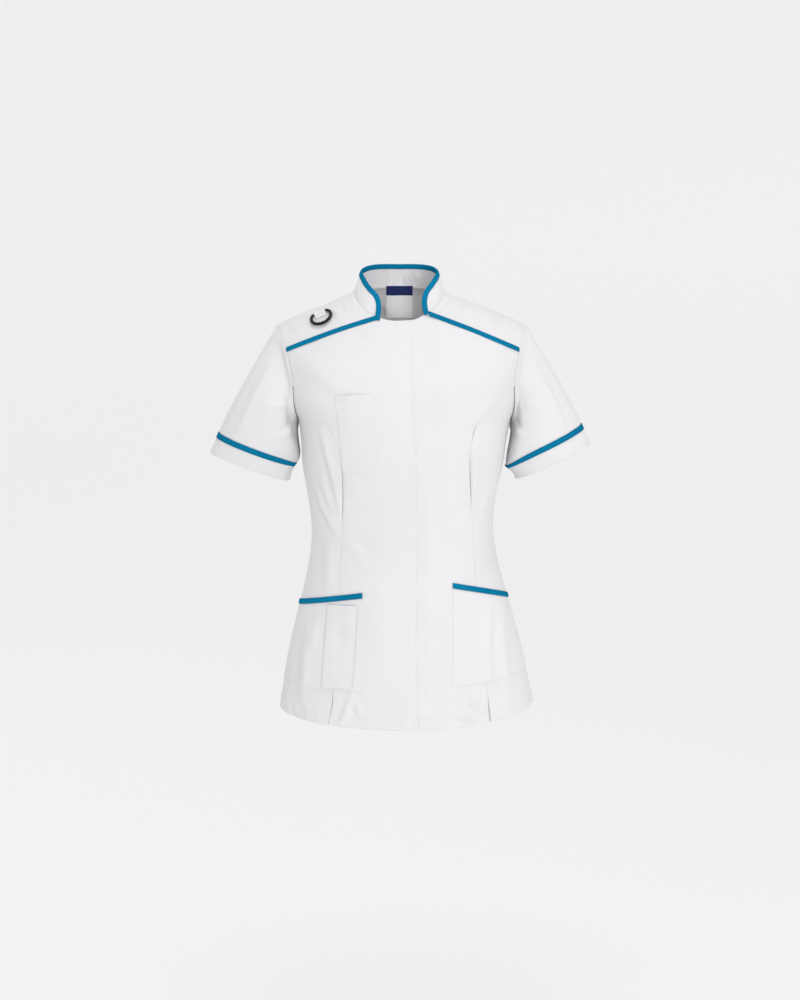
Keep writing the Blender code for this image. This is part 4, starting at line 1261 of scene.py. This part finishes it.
def one_stitch(length):
    """The points and faces of a single stitch: a short thread whose ends dip into the cloth."""
    bpy.ops.object.select_all(action="DESELECT")
    bpy.ops.mesh.primitive_uv_sphere_add(segments=6, ring_count=5, radius=0.5, location=(0, 0, 0))
    thing = bpy.context.object
    bpy.ops.object.mode_set(mode="EDIT")
    bpy.ops.mesh.select_all(action="SELECT")
    bpy.ops.transform.rotate(value=math.pi / 2, orient_axis="Y", center_override=(0, 0, 0))
    bpy.ops.transform.resize(value=(length, 0.00042, 0.00034))
    bpy.ops.object.mode_set(mode="OBJECT")
    points = np.array([vertex.co[:] for vertex in thing.data.vertices])
    points[:, 2] += 0.00008 - 0.00030 * (2 * points[:, 0] / length) ** 2
    faces = [tuple(face.vertices) for face in thing.data.polygons]
    data = thing.data
    bpy.data.objects.remove(thing)
    bpy.data.meshes.remove(data)
    return points, faces


def stitch_line(panel, path, pitch):
    """Middles, directions and outward directions of the stitches along a path on a panel."""
    path = np.array(path, float)
    steps = np.concatenate([[0], np.cumsum(np.linalg.norm(np.diff(path, axis=0), axis=1))])
    count = max(int(steps[-1] / pitch), 1)
    middles = (np.arange(count) + 0.5) * steps[-1] / count
    u, v = (np.interp(middles, steps, path[:, k]) for k in (0, 1))
    near = pitch * 0.4
    u0, v0 = (np.interp(middles - near, steps, path[:, k]) for k in (0, 1))
    u1, v1 = (np.interp(middles + near, steps, path[:, k]) for k in (0, 1))
    places, normals = panel.at(u, v)
    along = panel.at(u1, v1)[0] - panel.at(u0, v0)[0]
    return places, Panel.unit(along), normals


def sew(name, lines, settings, material, slot="white_cloth"):
    """One piece of thread work: the same stitch laid along every line."""
    points, faces = one_stitch(settings.stitch * 0.80)
    all_points, all_faces, start = [], [], 0
    for panel, path in lines:
        places, along, normals = stitch_line(panel, path, settings.stitch)
        beside = Panel.unit(np.cross(normals, along))
        normals = np.cross(along, beside)
        turned = np.stack([along, beside, normals], axis=1)
        block = places[:, None] + np.einsum("pk,skc->spc", points, turned)
        all_points.append(block.reshape(-1, 3))
        for _ in range(len(places)):
            all_faces.extend(tuple(v + start for v in face) for face in faces)
            start += len(points)
    data = bpy.data.meshes.new(name)
    data.from_pydata(np.concatenate(all_points).tolist(), [], all_faces)
    data.shade_smooth()
    data.materials.append(material)
    thing = bpy.data.objects.new(name, data)
    bpy.context.scene.collection.objects.link(thing)
    return settle(thing, slot)


def edge_path(panel, edge, inset, start=0.0, end=1.0, steps=80):
    """A path beside one edge of a panel, a given distance in from it."""
    share = np.linspace(start, end, steps)
    if edge in ("low", "high"):
        u = share * panel.width
        v = np.full(steps, inset if edge == "low" else panel.height - inset)
    else:
        v = share * panel.height
        u = np.full(steps, inset if edge == "left" else panel.width - inset)
    return np.stack([u, v], axis=1)


# Rows of stitches: the piece they go through, the edge they follow and how far in they run.
SewnRow = namedtuple("SewnRow", "piece edge inset start end", defaults=(0, 1))
SEWN_ROWS = (
    SewnRow("back", "low", 0.0185),
    SewnRow("back", "high", 0.0020),
    SewnRow("front_right", "low", 0.0185),
    SewnRow("front_left", "low", 0.0185),
    SewnRow("side_front_right", "low", 0.0185),
    SewnRow("side_front_left", "low", 0.0185),
    SewnRow("front_right", "right", 0.0030),
    SewnRow("front_right", "high", 0.0022),
    SewnRow("front_left", "high", 0.0022),
    SewnRow("front_right", "left", 0.0020),
    SewnRow("front_left", "right", 0.0020),
    SewnRow("side_front_right", "left", 0.0030, 0, 0.10),
    SewnRow("side_front_left", "right", 0.0030, 0, 0.10),
    SewnRow("back", "left", 0.0030, 0, 0.085),
    SewnRow("back", "right", 0.0030, 0, 0.085),
    SewnRow("yoke_right", "low", 0.0020),
    SewnRow("yoke_left", "low", 0.0020),
    SewnRow("collar", "low", 0.0020),
    SewnRow("hip_pocket_right", "right", 0.0020),
    SewnRow("hip_pocket_right", "low", 0.0020),
    SewnRow("hip_pocket_right", "high", 0.0020),
    SewnRow("hip_pocket_left", "left", 0.0020),
    SewnRow("hip_pocket_left", "low", 0.0020),
    SewnRow("hip_pocket_left", "high", 0.0020),
    SewnRow("instrument_pocket", "left", 0.0022),
    SewnRow("instrument_pocket", "right", 0.0022),
    SewnRow("instrument_pocket", "low", 0.0022),
    SewnRow("instrument_pocket", "high", 0.0105),
    SewnRow("pen_pocket", "left", 0.0022),
    SewnRow("pen_pocket", "right", 0.0022),
    SewnRow("pen_pocket", "low", 0.0022),
    SewnRow("pen_pocket", "high", 0.0105),
    SewnRow("sleeve_right", "low", 0.0018),
    SewnRow("sleeve_left", "low", 0.0018),
    SewnRow("cuff_right", "high", 0.0018),
    SewnRow("cuff_left", "high", 0.0018),
    SewnRow("cuff_right", "low", 0.0030),
    SewnRow("cuff_left", "low", 0.0030),
)

TAPE_ROWS = (
    ("pocket_tape_right", 0.0011), ("pocket_tape_left", 0.0011),
    ("yoke_piping_right", 0.0010), ("yoke_piping_left", 0.0010),
    ("sleeve_tape_right", 0.0011), ("sleeve_tape_left", 0.0011),
)


class TUNIC_OT_stitching(bpy.types.Operator):
    """Sew the hems, seams, pockets and tapes"""

    bl_idname = "tunic.stitching"
    bl_label = "Stitching"

    def execute(self, context):
        settings = context.scene.tunic
        white, blue = material_of("white_thread", settings), material_of("blue_thread", settings)
        groups = {}
        for row in SEWN_ROWS:
            panel = PANELS[f"{row.piece}_cloth"]
            path = edge_path(panel, row.edge, row.inset, row.start, row.end)
            groups.setdefault(row.piece, []).append((panel, path))
        for piece, lines in groups.items():
            sew(f"{piece}_stitches", lines, settings, white)
        for piece, inset in TAPE_ROWS:
            panel = PANELS[f"{piece}_cloth"]
            lines = [(panel, edge_path(panel, edge, inset)) for edge in ("low", "high")]
            sew(f"{piece}_stitches", lines, settings, blue, slot="blue_tape")
        strip = PANELS["collar_binding_tape"]
        lines = [(strip, edge_path(strip, edge, 0.0012, steps=200)) for edge in ("low", "high")]
        sew("collar_binding_stitches", lines, settings, blue, slot="blue_tape")
        return {"FINISHED"}


# The studio.


# Soft lights: where they stand, what they point at, and their size, power and spread.
Light = namedtuple("Light", "name place target size power spread")
LIGHTS = (
    Light("Front", (1.0, -2.9, -0.30), (0, 0, -0.38), (1.4, 1.4), 28, 180),
    Light("Side", (2.6, -0.6, 0.4), (0, 0, -0.35), (1.0, 1.4), 1.5, 180),
    Light("Neck", (0.0, -1.2, 0.35), (0.0, 0.05, -0.012), (0.03, 0.03), 0.0062, 4.0),
    Light("Top", (0.0, -0.5, 2.0), (0, 0, 0), (0.8, 0.8), 15, 180),
    Light("Rear", (-2.3, 2.3, 1.2), (0, 0, -0.35), (1.2, 1.2), 11, 180),
)


class TUNIC_OT_studio(bpy.types.Operator):
    """Set up the pale floor, the soft lights and the camera"""

    bl_idname = "tunic.studio"
    bl_label = "Studio"

    def execute(self, context):
        scene = context.scene
        floor, reach, bend, top = -1.35, 5.0, 1.6, 4.5
        profile = [(radius, floor) for radius in (0.0, 1.2, 2.4, reach - bend)]
        profile += [
            (reach - bend + bend * math.sin(turn), floor + bend * (1 - math.cos(turn)))
            for turn in np.linspace(0, math.pi / 2, 16)[1:]
        ]
        profile.append((reach, top))
        turns = np.linspace(0, 2 * math.pi, 96, endpoint=False)
        points = [(0.0, 0.0, floor)]
        points += [(r * math.cos(turn), r * math.sin(turn), z) for r, z in profile[1:] for turn in turns]
        count = len(turns)
        faces = [(0, 1 + k, 1 + (k + 1) % count) for k in range(count)]
        for row in range(len(profile) - 2):
            for k in range(count):
                a, b = 1 + row * count + k, 1 + row * count + (k + 1) % count
                faces.append((a, a + count, b + count, b))
        data = bpy.data.meshes.new("studio_sweep")
        data.from_pydata(points, [], faces)
        data.shade_smooth()
        data.materials.append(material_of("studio_paper", scene.tunic))
        sweep = bpy.data.objects.new("studio_sweep", data)
        scene.collection.objects.link(sweep)

        world = bpy.data.worlds.new("Studio")
        world.use_nodes = True
        background = world.node_tree.nodes["Background"]
        set_inputs(background, {"Color": (0.995, 0.99, 1.0, 1), "Strength": 0.50})
        scene.world = world
        for row in LIGHTS:
            light = bpy.data.lights.new(row.name, "AREA")
            light.shape = "RECTANGLE"
            light.size, light.size_y = row.size
            light.energy = row.power
            light.spread = math.radians(row.spread)
            lamp = bpy.data.objects.new(row.name, light)
            lamp.location = row.place
            lamp.visible_camera = False
            way = Vector(row.target) - Vector(row.place)
            lamp.rotation_euler = way.to_track_quat("-Z", "Y").to_euler()
            scene.collection.objects.link(lamp)
        camera = bpy.data.cameras.new("Camera")
        camera.lens = 52.94
        camera.sensor_width = 36
        camera.clip_start = 0.05
        eye = bpy.data.objects.new("Camera", camera)
        aim, distance, elevation = Vector((0, 0, -0.35177)), 2.5, math.radians(8)
        eye.location = aim + distance * Vector((0, -math.cos(elevation), math.sin(elevation)))
        eye.rotation_euler = (aim - eye.location).to_track_quat("-Z", "Y").to_euler()
        scene.collection.objects.link(eye)
        scene.camera = eye
        scene.view_settings.view_transform = "Standard"
        return {"FINISHED"}


class TUNIC_PT_panel(bpy.types.Panel):
    """The tunic's settings and the steps that build it"""

    bl_idname = "TUNIC_PT_panel"
    bl_label = "Healthcare tunic"
    bl_space_type = "VIEW_3D"
    bl_region_type = "UI"
    bl_category = "Tunic"

    def draw(self, context):
        column = self.layout.column()
        for name in TunicSettings.__annotations__:
            column.prop(context.scene.tunic, name)
        for step in STEPS:
            column.operator(step.bl_idname)


STEPS = (
    TUNIC_OT_body,
    TUNIC_OT_yokes,
    TUNIC_OT_sleeves,
    TUNIC_OT_collar,
    TUNIC_OT_pockets,
    TUNIC_OT_piping,
    TUNIC_OT_label,
    TUNIC_OT_ring,
    TUNIC_OT_stitching,
    TUNIC_OT_studio,
)
CLASSES = (TunicSettings,) + STEPS + (TUNIC_PT_panel,)


def register():
    for kind in CLASSES:
        bpy.utils.register_class(kind)
    bpy.types.Scene.tunic = bpy.props.PointerProperty(type=TunicSettings)


def unregister():
    del bpy.types.Scene.tunic
    for kind in reversed(CLASSES):
        bpy.utils.unregister_class(kind)


def main():
    register()
    bpy.ops.tunic.body()
    bpy.ops.tunic.yokes()
    bpy.ops.tunic.sleeves()
    bpy.ops.tunic.collar()
    bpy.ops.tunic.pockets()
    bpy.ops.tunic.piping()
    bpy.ops.tunic.label()
    bpy.ops.tunic.ring()
    bpy.ops.tunic.stitching()
    bpy.ops.tunic.studio()


if __name__ == "__main__":
    main()
